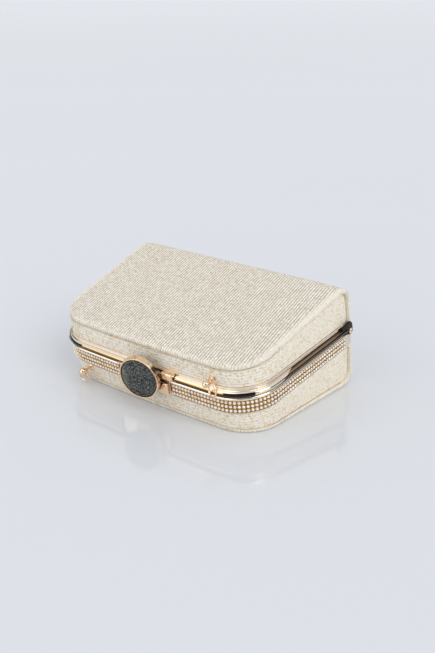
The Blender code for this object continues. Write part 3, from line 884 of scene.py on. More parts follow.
@dataclass(frozen=True)
class Satin:
    """Plain lining cloth with a soft shine and fine yarns."""

    name: str
    colour: Rgb

    def build(self) -> bpy.types.Material:
        """Builds the material."""
        material, g, shader = new_material(self.name)
        place = g.node("ShaderNodeTexCoord")
        clouds = g.noise(place.outputs["Object"], 28.0, 3.0)
        threads = g.noise(g.scaled(place.outputs["Object"], 1.0, 0.12, 1.0), 1900.0, 2.0)
        dark = tuple(c * 0.8 for c in self.colour)
        g.feed(shader.inputs["Base Color"], g.mix(clouds, (*self.colour, 1.0), (*dark, 1.0)))
        g.feed(shader.inputs["Roughness"], g.remap(threads, 0.2, 0.8, 0.38, 0.55))
        shader.inputs["Sheen Weight"].default_value = 0.3
        bump = g.node("ShaderNodeBump")
        bump.inputs["Strength"].default_value = 0.25
        bump.inputs["Distance"].default_value = 0.0002
        g.feed(bump.inputs["Height"], threads)
        g.feed(shader.inputs["Normal"], bump.outputs[0])
        return material


@dataclass(frozen=True)
class Gem:
    """Bright faceted stone, varied from stone to stone by a point attribute."""

    name: str
    light: Rgb = (1.0, 1.0, 0.99)
    dark: Rgb = (0.84, 0.81, 0.76)

    def build(self) -> bpy.types.Material:
        """Builds the material."""
        material, g, shader = new_material(self.name)
        tone = g.node("ShaderNodeAttribute", attribute_name="stone_tone")
        colour = g.mix(g.remap(tone.outputs["Fac"], 0.0, 1.0), (*self.dark, 1.0), (*self.light, 1.0))
        g.feed(shader.inputs["Base Color"], colour)
        shader.inputs["Metallic"].default_value = 0.1
        shader.inputs["Roughness"].default_value = 0.08
        shader.inputs["Specular IOR Level"].default_value = 0.9
        shader.inputs["Coat Weight"].default_value = 0.5
        shader.inputs["Coat Roughness"].default_value = 0.03
        return material


@dataclass(frozen=True)
class Caviar:
    """Dark grey-green beads with a cool shine, lighter or darker at random per bead and made lighter towards
    the knob's left as painted light.
    """

    name: str

    def build(self) -> bpy.types.Material:
        """Builds the material."""
        material, g, shader = new_material(self.name)
        tone = g.node("ShaderNodeAttribute", attribute_name="bead_tone_and_painted_light")
        colour = g.mix(tone.outputs["Fac"], (0.022, 0.026, 0.022, 1.0), (0.40, 0.42, 0.385, 1.0))
        g.feed(shader.inputs["Base Color"], colour)
        shader.inputs["Metallic"].default_value = 0.4
        shader.inputs["Roughness"].default_value = 0.3
        return material


class Palette:
    """All finishes of the bag, built once."""

    def __init__(self) -> None:
        """Builds every material."""
        effects = Effects()
        self.panel = RibbedCloth(
            "ribbed_panel_cloth",
            effects,
            pitch=2.0,
            slant=-4.6,
            contrast=1.0,
            gold_share=0.05,
            variation=0.85,
            splits=3.0,
            tint=(1.035, 1.01, 0.96),
        ).build()
        self.wall = RibbedCloth(
            "ribbed_wall_cloth",
            effects,
            pitch=2.0,
            slant=90.0,
            contrast=0.34,
            gold_share=0.09,
            variation=0.7,
            splits=2.0,
            tint=(1.14, 1.10, 1.03),
        ).build()
        self.gold = PlatedMetal("light_gold_frame", effects, (1.0, 0.88, 0.75), 0.16).build()
        self.lip = PlatedMetal("pale_gold_lip", effects, (1.0, 0.91, 0.79), 0.08).build()
        # The bead's colour holds painted highlights, painted shade and painted dark reflections.
        self.bead = GoldBeadPaintedReflections("gold_bead_painted_reflections").build()
        # The ears are gold plate painted near black: a painted dark reflection.
        self.ear = PlatedMetal("gold_ear_painted_dark_reflection", effects, (0.045, 0.035, 0.03), 0.07).build()
        self.rose = PlatedMetal("rose_gold_fittings", effects, (0.95, 0.72, 0.51), 0.09).build()
        # The knob's side takes a painted highlight, a painted dark reflection and painted groove shade.
        self.drum = DrumPaintedReflections("drum_gold_painted_reflections", effects).build()
        self.cup = PlatedMetal("gold_stone_cups", effects, (0.86, 0.60, 0.25), 0.22).build()
        # Gold of the stone backing, darkened with painted shade for the recess behind the stones.
        self.mesh = PlatedMetal("gold_mesh_painted_recess_shade", effects, (0.40, 0.235, 0.08), 0.35).build()
        self.steel = PlatedMetal("spring_steel_wire", effects, (0.55, 0.55, 0.56), 0.25).build()
        self.thread = PlatedMetal("gold_edge_thread", effects, (0.86, 0.72, 0.5), 0.4).build()
        self.satin = Satin("champagne_satin", (0.60, 0.50, 0.38)).build()
        self.gem = Gem("clear_stones").build()
        self.caviar = Caviar("grey_caviar").build()
        self.backing = PlatedMetal("dark_bead_backing", effects, (0.08, 0.09, 0.09), 0.45).build()


# ------------------------------------------------------------------------------------ covers
@dataclass
class Cover:
    """Board wrapped in ribbed cloth: outer panel, rear bend and back wall of one half."""

    half: Half
    palette: Palette
    column_step: float = 0.45
    corner_columns: int = 70
    edge_r: float = 1.7
    under_r: float = 0.8
    puff: float = 0.7
    rib_pitch: float = 2.0
    rib_height: float = 0.14
    rib_slant: float = -4.6
    notch_w: float = 87.0

    def columns(self) -> tuple[Points, Points]:
        """Share of the side line's width and front y of each column."""
        front_r, cx, cy, first, last = BAG.outline_facts(BAG.half_w, BAG.flare)
        x_first = front_r * math.sin(first)
        count = int(x_first / self.column_step)
        x = np.linspace(0.0, x_first, count, endpoint=False)
        y = front_r - np.sqrt(front_r**2 - x**2)
        a = np.linspace(first, last, self.corner_columns)
        x = np.concatenate([x, cx + BAG.corner_r * np.sin(a)])
        y = np.concatenate([y, cy - BAG.corner_r * np.cos(a)])
        share = x / self.side_x(y)
        share[-1] = 1.0
        return np.concatenate([-share[:0:-1], share]), np.concatenate([y[:0:-1], y])

    @staticmethod
    def side_x(y: Points) -> Points:
        """Half width of the side line at y."""
        return BAG.half_w - (BAG.depth - np.minimum(y, BAG.depth)) * math.tan(math.radians(BAG.flare))

    @staticmethod
    def edge_distance(x: Points, y: Points) -> Points:
        """Distance inwards from the plan outline."""
        front_r, cx, cy, first, _ = BAG.outline_facts(BAG.half_w, BAG.flare)
        side = (Cover.side_x(y) - np.abs(x)) * math.cos(math.radians(BAG.flare))
        front = front_r - np.hypot(x, y - front_r)
        corner = BAG.corner_r - np.hypot(np.abs(x) - cx, y - cy)
        inside = (np.abs(x) > cx) & (y < cy + 1.0) & ((np.abs(x) - cx) > (cy - y) * math.tan(first) - 0.5)
        return np.where(inside, np.minimum(corner, side), np.minimum(side, front))

    def rows(self, front: Points) -> Points:
        """Distance along the cloth of each row, for every column: rows down, columns across."""
        a = math.radians(BAG.wedge)
        yc, zc = BAG.bend_centre(self.half)
        flat_end = yc - BAG.bend_r * math.sin(a)
        bend = BAG.bend_r * (0.5 * math.pi + a)
        wall = -BAG.back_gap - zc
        near = np.array([0.0, 0.12, 0.35, 0.7, 1.2, 1.8, 2.6])
        t = np.linspace(0.0, 1.0, 38)[1:]
        start = front[None, :] + near[:, None]
        flat = start[-1][None, :] + t[:, None] * (flat_end - start[-1])[None, :]
        round_bend = flat_end + np.linspace(0.0, bend, 15)[1:]
        up_wall = flat_end + bend + np.linspace(0.0, wall - 2.0, 9)[1:]
        rest = np.concatenate([round_bend, up_wall])
        tail = flat_end + bend + wall - np.array([1.4, 0.9, 0.5, 0.2, 0.0])
        rest = np.concatenate([rest, tail])
        return np.vstack([start, flat, np.repeat(rest[:, None], len(front), 1)])

    def surface(self, q: Points, share: Points, depth: Points) -> tuple[Points, Points, Points]:
        """Places points given by the distance along the cloth.

        Args:
            q: distance along the cloth for each row and column.
            share: share of the half width for each column.
            depth: height above the outer face for each row and column.

        Returns:
            Points, plan y and unnarrowed x for each row and column.
        """
        a = math.radians(BAG.wedge)
        yc, zc = BAG.bend_centre(self.half)
        flat_end = yc - BAG.bend_r * math.sin(a)
        bend = BAG.bend_r * (0.5 * math.pi + a)
        turn = np.clip((q - flat_end) / bend, 0.0, 1.0) * (0.5 * math.pi + a) - 0.5 * math.pi - a
        normal_y, normal_z = np.cos(turn), np.sin(turn)
        y = yc + BAG.bend_r * normal_y
        z = zc + BAG.bend_r * normal_z
        before = np.minimum(q - flat_end, 0.0)
        y = y + before
        z = z - before * math.tan(a)
        z = z + np.maximum(q - flat_end - bend, 0.0)
        x_free = share[None, :] * self.side_x(y)
        notch_z = 12.7 if self.half is Half.LOWER else 4.8
        blend = np.clip((z + notch_z + 1.2) / 1.2, 0.0, 1.0) * (q > flat_end + 0.5 * bend)
        narrow = 1.0 - blend * (1.0 - self.notch_w / BAG.half_w)
        x = x_free * narrow
        points = np.stack([x, y + normal_y * depth, z + normal_z * depth], -1)
        points[..., 2] *= -self.half.value
        return points, y, x_free

    def build(self) -> None:
        """Builds the cover."""
        share, front = self.columns()
        q = self.rows(front)
        flat = np.zeros_like(q)
        _, y, x = self.surface(q, share, flat)
        end = q[-1, 0]
        d = np.minimum(self.edge_distance(x, y), end - q)
        d = np.maximum(d, 0.0)
        side_d = np.maximum(self.side_x(y) - np.abs(x), 0.0)
        e = np.minimum(d, self.edge_r)
        drop = self.edge_r - np.sqrt(np.maximum(self.edge_r**2 - (self.edge_r - e) ** 2, 0.0))
        slant = math.radians(self.rib_slant)
        across = x * math.cos(slant) - q * math.sin(slant)
        ribs = np.abs(np.sin(math.pi * across / self.rib_pitch)) ** 0.7
        wander = np.sin(across * 0.83 + 1.7 * np.sin(q * 0.11))
        uneven = 0.85 + 0.15 * wander * np.sin(q * 0.29 + across * 0.37)
        fade = np.clip((d - 0.3) / 1.5, 0.0, 1.0) * np.clip((side_d - 2.2) / 3.0, 0.0, 1.0)
        swell = self.puff * (1.0 - np.exp(-d / 7.0))
        top = -drop + (ribs - 0.5) * uneven * fade * self.rib_height + swell - 0.1
        if self.half is Half.LOWER:
            top = np.minimum(top, np.where(q < front.max() + 100.0, 0.0, top))
        e = np.minimum(d, self.under_r)
        rise = self.under_r - np.sqrt(np.maximum(self.under_r**2 - (self.under_r - e) ** 2, 0.0))
        under = -BAG.wrap_t + rise
        upper, _, _ = self.surface(q, share, top)
        lower, _, _ = self.surface(q, share, under)
        rows, cols = q.shape
        verts = np.vstack([upper.reshape(-1, 3), lower.reshape(-1, 3)])
        uv = np.stack([x, q], -1).reshape(-1, 2)
        name = "lower" if self.half is Half.LOWER else "upper"
        obj = mesh_piece(name + "_ribbed_cover", verts, sheet_faces(rows, cols), np.vstack([uv, uv]))
        strength = (np.clip((side_d - 2.0) / 3.0, 0.12, 1.0) * np.clip(d / 3.0, 0.45, 1.0)).reshape(-1)
        paint(obj, "rib_strength", np.concatenate([strength, strength * 0.5]))
        smooth_by_angle(obj, 60.0)
        body = Body.LOWER if self.half is Half.LOWER else Body.UPPER
        dress(obj, self.palette.panel, body, Slot.FABRIC, name + "_cover")


# ------------------------------------------------------------------------------------ walls and linings
@dataclass
class Wall:
    """Cloth-covered side wall of one half, swelling a little between the frame and the panel."""

    half: Half
    palette: Palette
    outer: float = -0.3
    thick: float = 2.4
    bulge: float = 0.55
    top: float = 1.6
    levels: int = 16

    def floor_z(self, y: Points, inset: float) -> Points:
        """Depth of the panel's inside at y, below the split."""
        a = math.radians(BAG.wedge)
        yc, zc = BAG.bend_centre(self.half)
        line = -(BAG.thick(self.half) + y * math.tan(a)) + inset / math.cos(a)
        r = BAG.bend_r - inset
        inside = np.clip(y - yc, -r * math.sin(a), r)
        arc = zc - np.sqrt(np.maximum(r * r - inside * inside, 0.0))
        return np.where(y > yc - r * math.sin(a), np.maximum(arc, line), line)

    def path(self, off: float, y_end: float) -> Points:
        """The wall's plan line with its rear closely stepped."""
        whole = BAG.full_plan(off, y_end - 12.0, front=60, corner=40, side=30)
        t = np.sin(np.linspace(0.0, 0.5 * math.pi, 12))[1:]
        tan = math.tan(math.radians(BAG.frame_flare))
        tail = np.stack([whole[-1, 0] + 12.0 * t * tan, whole[-1, 1] + 12.0 * t], 1)
        head = tail[::-1] * np.array([-1.0, 1.0])
        return np.vstack([head, whole, tail])

    def build(self) -> None:
        """Builds the wall and its satin lining."""
        inset = BAG.wrap_t + 0.25
        y_end = BAG.depth - BAG.wrap_t - 0.35
        outer = self.path(self.outer, y_end)
        inner = self.path(self.outer - self.thick, y_end)
        count = len(outer)
        normal = outer - inner
        normal /= np.linalg.norm(normal, axis=1)[:, None]
        rings = []
        fractions = np.linspace(0.0, 1.0, self.levels)
        low_out = self.floor_z(outer[:, 1], inset)
        low_in = self.floor_z(inner[:, 1], inset)
        for t in fractions:
            swell = self.bulge * math.sin(math.pi * min(1.0, t * 1.05)) ** 0.7 if 0.0 < t < 1.0 else 0.0
            xy = outer + normal * swell
            z = -self.top + (low_out + self.top) * t
            rings.append(np.column_stack([xy, z]))
        for t in fractions[::-1]:
            z = -self.top + (low_in + self.top) * t
            rings.append(np.column_stack([inner, z]))
        verts = np.stack(rings, 1)
        verts[..., 2] *= -self.half.value
        n = len(rings)
        faces = list(grid_faces(count, n, loop=True)) + end_caps(count, n)
        along = distances(outer)
        uv = np.stack([np.repeat(along[:, None], n, 1), verts[..., 2]], -1).reshape(-1, 2)
        name = "lower" if self.half is Half.LOWER else "upper"
        obj = mesh_piece(name + "_wall_cloth", verts.reshape(-1, 3), faces, uv)
        front_share = np.clip((60.0 - outer[:, 1]) / 40.0, 0.35, 1.0)
        paint(obj, "rib_strength", np.repeat(front_share, n))
        smooth_by_angle(obj, 50.0)
        body = Body.LOWER if self.half is Half.LOWER else Body.UPPER
        dress(obj, self.palette.wall, body, Slot.FABRIC, name + "_side_wall")
        self.build_lining(name, body)

    def build_lining(self, name: str, body: Body) -> None:
        """Builds the satin tray inside the half, with soft corners."""
        off = self.outer - self.thick - 0.3
        y_end = BAG.depth - BAG.wrap_t - 1.0
        rim = BAG.full_plan(off, y_end, front=24, corner=24, side=12)
        middle = np.array([0.0, 55.0])
        rings = []
        base = self.floor_z(rim[:, 1], BAG.wrap_t + 1.0)
        rings.append(np.column_stack([rim, np.full(len(rim), -1.7)]))
        for drop, inwards in ((5.0, 0.0), (1.4, 0.0), (0.5, 0.4), (0.0, 1.4)):
            shrunk = rim + (middle - rim) * (inwards / 60.0)
            rings.append(np.column_stack([shrunk, np.minimum(base + drop, -1.8)]))
        for share in (0.85, 0.6, 0.3):
            shrunk = middle + (rim - middle) * share
            rings.append(np.column_stack([shrunk, self.floor_z(shrunk[:, 1], BAG.wrap_t + 1.0)]))
        outer_part = np.stack(rings, 0)
        thick = 0.6
        inner_part = outer_part.copy()
        pull = (middle - outer_part[..., :2])
        pull /= np.maximum(np.linalg.norm(pull, axis=-1)[..., None], 1e-6)
        inner_part[:, :, :2] += pull * thick * np.array([1, 1, 1, 0.9, 0.6, 0.1, 0.1, 0.1])[:, None, None]
        inner_part[:, :, 2] += thick * np.array([0, 0, 0.3, 0.7, 1.0, 1.0, 1.0, 1.0])[:, None]
        rows, cols = outer_part.shape[:2]
        verts = np.vstack([outer_part.reshape(-1, 3), inner_part.reshape(-1, 3)])
        n = rows * cols
        faces: list[Sequence[int]] = list(grid_faces(rows, cols, loop=True))
        faces += [tuple(n + k for k in reversed(f)) for f in grid_faces(rows, cols, loop=True)]
        for j in range(cols):
            k = (j + 1) % cols
            faces.append((j, n + j, n + k, k))
        faces.append(tuple(range((rows - 1) * cols, rows * cols)))
        faces.append(tuple(n + k for k in range(rows * cols - 1, (rows - 1) * cols - 1, -1)))
        verts[:, 2] *= -self.half.value
        obj = mesh_piece(name + "_satin_lining", verts, faces)
        smooth_by_angle(obj, 50.0)
        dress(obj, self.palette.satin, body, Slot.LINING, name + "_lining")


@dataclass
class BackHinge:
    """Strip of lining cloth that crosses the gap between the two back walls."""

    palette: Palette
    half_width: float = 79.0
    reach: float = 8.0
    thick: float = 0.35

    def build(self) -> None:
        cols, rows = 41, 33
        x = np.linspace(-self.half_width, self.half_width, cols)
        z = np.linspace(-self.reach, self.reach, rows)
        xx, zz = np.meshgrid(x, z)
        y0 = BAG.depth - BAG.wrap_t - 0.35
        outside = np.stack([xx, np.full_like(xx, y0), zz], -1).reshape(-1, 3)
        inside = outside - np.array([0.0, self.thick, 0.0])
        obj = mesh_piece("back_hinge_strip", np.vstack([outside, inside]), sheet_faces(rows, cols))
        obj.data.materials.append(self.palette.satin)
        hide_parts("back_hinge_cloth")
        start = BAG.spot(0.0, y0, -3.0)
        end = BAG.spot(0.0, y0, 3.0)
        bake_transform(obj)


# ------------------------------------------------------------------------------------ frame
@dataclass
class MetalFrame:
    """The two gold channels with lip, bead, rear tabs and ears."""

    palette: Palette
    lower_gap: tuple[float, float] = (23.0, 23.3)
    upper_gap: tuple[float, float] = (16.3, 28.4)
    arm_end: float = 106.8
    lip_end: float = 102.3
    tab: tuple[float, float] = (87.5, 88.7)
    ear: tuple[float, float] = (89.0, 90.3)
    plate_edge: float = 0.35

    def channel(self, half: Half) -> bpy.types.Object:
        """The plate with its web over the wall rim."""
        s = half.value
        edge = 13.0 if half is Half.LOWER else 6.0
        corners = [(0.2, edge), (1.05, edge), (1.3, edge - 0.12), (1.4, edge - 0.4), (1.4, 0.5)]
        corners += [(1.3, 0.24), (1.05, 0.15), (-3.2, 0.15), (-3.4, 0.35), (-3.4, 1.3), (0.2, 1.3)]
        section = [(off, s * z) for off, z in corners]
        name = "lower_frame_channel" if half is Half.LOWER else "upper_frame_channel"
        end = self.arm_end if half is Half.LOWER else self.lip_end
        obj = swept(name, section, lambda off: BAG.full_plan(off, end, front=48, corner=40, side=16))
        smooth_by_angle(obj, 38.0)
        return obj

    def lips(self) -> None:
        """The rounded lip over the stones, left and right of the clasp."""
        section = [(1.3, -0.3), (1.6, -0.15)]
        section += arc_points((2.35, -1.25), 1.1, 90.0, -80.0, 14)
        section += [(1.3, -2.75)]
        for name, start, side in (("left", self.lower_gap[0], -1.0), ("right", self.lower_gap[1], 1.0)):
            obj = swept(f"lower_lip_{name}", section, side_line(start, side, self.lip_end))
            smooth_by_angle(obj, 50.0)
            dress(obj, self.palette.lip, Body.LOWER, Slot.GOLD)

    def beads(self) -> None:
        """The rolled bead of the upper channel, left and right of the clasp."""
        section = [(1.3, 0.35), (1.6, 0.28)]
        section += arc_points((2.25, 2.1), 1.8, -85.0, 100.0, 26)
        section += [(1.6, 4.05), (1.3, 4.3)]
        # begin is the distance along the bead kept in the UV map, which places the bead's painted reflections
        # and painted shade.
        runs = (("left", self.upper_gap[0], -1.0, 25.3), ("right", self.upper_gap[1], 1.0, 28.4))
        for name, start, side, begin in runs:
            obj = swept(f"upper_bead_{name}", section, side_line(start, side, self.lip_end + 0.4), begin)
            smooth_by_angle(obj, 50.0)
            dress(obj, self.palette.bead, Body.UPPER, Slot.GOLD)

    def plate(
        self, name: str, outline: Sequence[tuple[float, float]], xs: tuple[float, float]
    ) -> bpy.types.Object:
        """A flat plate across x with rounded edges; the outline holds (y, z)."""
        n = len(outline)
        verts = [(xs[0], y, z) for y, z in outline] + [(xs[1], y, z) for y, z in outline]
        faces: list[Sequence[int]] = [tuple(range(n)), tuple(range(2 * n - 1, n - 1, -1))]
        faces += [(k, (k + 1) % n, n + (k + 1) % n, n + k) for k in range(n)]
        obj = mesh_piece(name, np.array(verts), faces)
        bevel_edges(obj, self.plate_edge * MM, 4)
        smooth_by_angle(obj, 40.0)
        return obj

    def rear(self) -> None:
        """Rear tabs of the lower channel, ears of the upper arms, and the rivets."""
        py = BAG.pivot_y
        tab = arc_points((py, 0.0), 4.2, 0.0, 170.0, 18) + [(py - 7.0, 0.0), (py - 7.0, -12.2)]
        tab += arc_points((py + 1.6, -11.2), 1.0, -90.0, 0.0, 5)
        ear = arc_points((py - 0.2, 0.6), 3.4, -110.0, 20.0, 14)
        ear += arc_points((py - 1.2, 2.9), 4.1, 10.0, 95.0, 12)
        ear += [(py - 10.0, 6.6), (py - 10.0, 0.2)]
        for label, side in (("left", -1.0), ("right", 1.0)):
            xs = sorted((side * self.tab[0], side * self.tab[1]))
            lower = self.plate(f"rear_tab_{label}", tab, (xs[0], xs[1]))
            dress(lower, self.palette.gold, Body.LOWER, Slot.GOLD)
            xs = sorted((side * self.ear[0], side * (self.ear[1] + 0.2)))
            upper = self.plate(f"rear_ear_{label}", ear, (xs[0], xs[1]))
            dress(upper, self.palette.ear, Body.UPPER, Slot.GOLD)
            self.rivet(label, side)

    def rivet(self, label: str, side: float) -> None:
        """A domed rivet through tab and ear."""
        head = [(2.0 * math.sin(a), 90.75 + 1.3 * math.cos(a)) for a in np.linspace(0.5 * math.pi, 0.0, 9)]
        profile = [(0.0, 87.2), (1.15, 87.2), (1.15, 90.55), (2.0, 90.55)] + head
        obj = turned(f"rivet_{label}", profile, (0.0, 0.0), 32)
        inverse = BAG.matrix().inverted()
        turn = Matrix.Translation((0.0, BAG.pivot_y, 0.0)) @ Matrix.Rotation(side * 0.5 * math.pi, 4, "Z")
        obj.data.transform(BAG.matrix() @ turn @ inverse)
        smooth_by_angle(obj, 40.0)
        dress(obj, self.palette.rose, Body.LOWER, Slot.ROSE, f"hinge_rivet_{label}")

    def build(self) -> None:
        """Builds the whole frame."""
        dress(self.channel(Half.LOWER), self.palette.gold, Body.LOWER, Slot.GOLD, "lower_frame")
        dress(self.channel(Half.UPPER), self.palette.gold, Body.UPPER, Slot.GOLD, "upper_frame")
        self.lips()
        self.beads()
        self.rear()


# ------------------------------------------------------------------------------------ crystal banding
@dataclass
class CrystalBand:
    """Three rows of faceted stones in gold cups along the lower channel."""

    palette: Palette
    rows: tuple[float, ...] = (-4.35, -7.25, -10.15)
    pitch: float = 2.52
    cup_r: float = 1.25
    stone_r: float = 1.13
    face: float = 1.75

    def path(self, start: float, side: float) -> tuple[Points, Points]:
        """Places and outward directions of the columns of stones."""
        line = side_line(start, side, 102.0)
        inner, outer = line(0.0), line(1.0)
        along = distances(inner)
        count = int((along[-1] - 1.0) / self.pitch)
        s = 1.5 + np.arange(count) * (along[-1] - 3.0) / (count - 1)
        base = np.stack([np.interp(s, along, inner[:, k]) for k in range(2)], 1)
        tip = np.stack([np.interp(s, along, outer[:, k]) for k in range(2)], 1)
        out = tip - base
        return base, out / np.linalg.norm(out, axis=1)[:, None]

    def stone(self) -> tuple[Points, list[tuple[int, ...]]]:
        """One brilliant-cut stone, facing +y of its own frame: table, crown and pavilion of eight sides."""
        r = self.stone_r
        rings = [(r * 0.55, 0.95, 0.0), (r, 0.35, 22.5), (r, 0.2, 22.5), (r * 0.5, -0.3, 0.0)]
        verts: list[tuple[float, float, float]] = []
        index: list[list[int]] = []
        for radius, height, twist in rings:
            index.append(list(range(len(verts), len(verts) + 8)))
            for k in range(8):
                a = math.radians(45.0 * k + twist)
                verts.append((radius * math.cos(a), height, radius * math.sin(a)))
        faces: list[tuple[int, ...]] = [tuple(index[0])]
        table, girdle, belt, tip = index
        for k in range(8):
            j = (k + 1) % 8
            faces.append((table[k], table[j], girdle[k]))
            faces.append((table[j], girdle[j], girdle[k]))
            faces.append((girdle[k], girdle[j], belt[j], belt[k]))
            faces.append((belt[k], belt[j], tip[j]))
            faces.append((belt[k], tip[j], tip[k]))
        faces.append(tuple(reversed(tip)))
        return np.array(verts), faces

    def cup(self) -> tuple[Points, list[tuple[int, ...]]]:
        """One cup: a short ring with four claws suggested by a raised rim of twelve steps."""
        verts: list[tuple[float, float, float]] = []
        steps = 12
        rim_height = 0.5
        rings = (
            (self.cup_r, -0.35),
            (self.cup_r * 1.06, 0.1),
            (self.stone_r * 1.0, rim_height),
            (self.stone_r * 0.9, -0.3),
        )
        for radius, height in rings:
            for k in range(steps):
                a = 2.0 * math.pi * k / steps
                claw = 0.22 if height == rim_height and k % 3 == 0 else 0.0
                lean = 1 - claw * 0.5
                verts.append((radius * math.cos(a) * lean, height + claw, radius * math.sin(a) * lean))
        faces: list[tuple[int, ...]] = []
        for i in range(4):
            for k in range(steps):
                j = (k + 1) % steps
                n = (i + 1) % 4
                faces.append((i * steps + k, i * steps + j, n * steps + j, n * steps + k))
        return np.array(verts), faces

    def repeat(
        self, shape: tuple[Points, list[tuple[int, ...]]], side_path: tuple[Points, Points], jitter: float
    ) -> tuple[Points, list[tuple[int, ...]], Points]:
        """Copies one shape to every place of a side.

        Args:
            shape: points and faces of one copy, facing its own +y.
            side_path: places and outward directions of the columns.
            jitter: largest tilt of a copy, in radians.

        Returns:
            Points, faces and one random tone per point.
        """
        rng = np.random.default_rng(7)
        base, faces = shape
        verts, all_faces, tones = [], [], []
        for z in self.rows:
            for (x, y), (nx, ny) in zip(*side_path):
                tilt = rng.uniform(-jitter, jitter, 2)
                spin = rng.uniform(0.0, 0.5 * math.pi)
                c, s = math.cos(spin), math.sin(spin)
                local = base @ np.array([[c, 0.0, s], [0.0, 1.0, 0.0], [-s, 0.0, c]])
                lean = [[1.0, tilt[0], 0.0], [-tilt[0], 1.0, tilt[1]], [0.0, -tilt[1], 1.0]]
                local = local @ np.array(lean)
                across = np.array([-ny, nx])
                point = np.zeros_like(local)
                point[:, 0] = x + across[0] * local[:, 0] + nx * (local[:, 1] + self.face)
                point[:, 1] = y + across[1] * local[:, 0] + ny * (local[:, 1] + self.face)
                point[:, 2] = z + local[:, 2]
                start = sum(len(v) for v in verts)
                verts.append(point)
                all_faces += [tuple(start + k for k in f) for f in faces]
                tones.append(np.full(len(base), rng.uniform(0.0, 1.0)))
        return np.vstack(verts), all_faces, np.concatenate(tones)

    def build(self) -> None:
        """Builds stones, cups and the backing of both sides."""
        for label, start, side in (("left", 23.3, -1.0), ("right", 23.6, 1.0)):
            path = self.path(start, side)
            verts, faces, tones = self.repeat(self.stone(), path, 0.16)
            stones = mesh_piece(f"stones_{label}", verts, faces)
            paint(stones, "stone_tone", tones)
            dress(stones, self.palette.gem, Body.LOWER, Slot.CRYSTAL, f"crystal_strip_{label}")
            verts, faces, _ = self.repeat(self.cup(), path, 0.0)
            cups = mesh_piece(f"stone_cups_{label}", verts, faces)
            dress(cups, self.palette.cup, Body.LOWER, Slot.CRYSTAL)
            # Backing strip behind the stones; its material is darkened as painted shade in the recess.
            strip = [(1.38, -2.8), (1.62, -2.85), (1.66, -3.0), (1.66, -12.0), (1.62, -12.15), (1.38, -12.2)]
            backing = swept(f"stone_backing_{label}", strip, side_line(start - 0.2, side, 102.2))
            smooth_by_angle(backing, 40.0)
            dress(backing, self.palette.mesh, Body.LOWER, Slot.CRYSTAL)


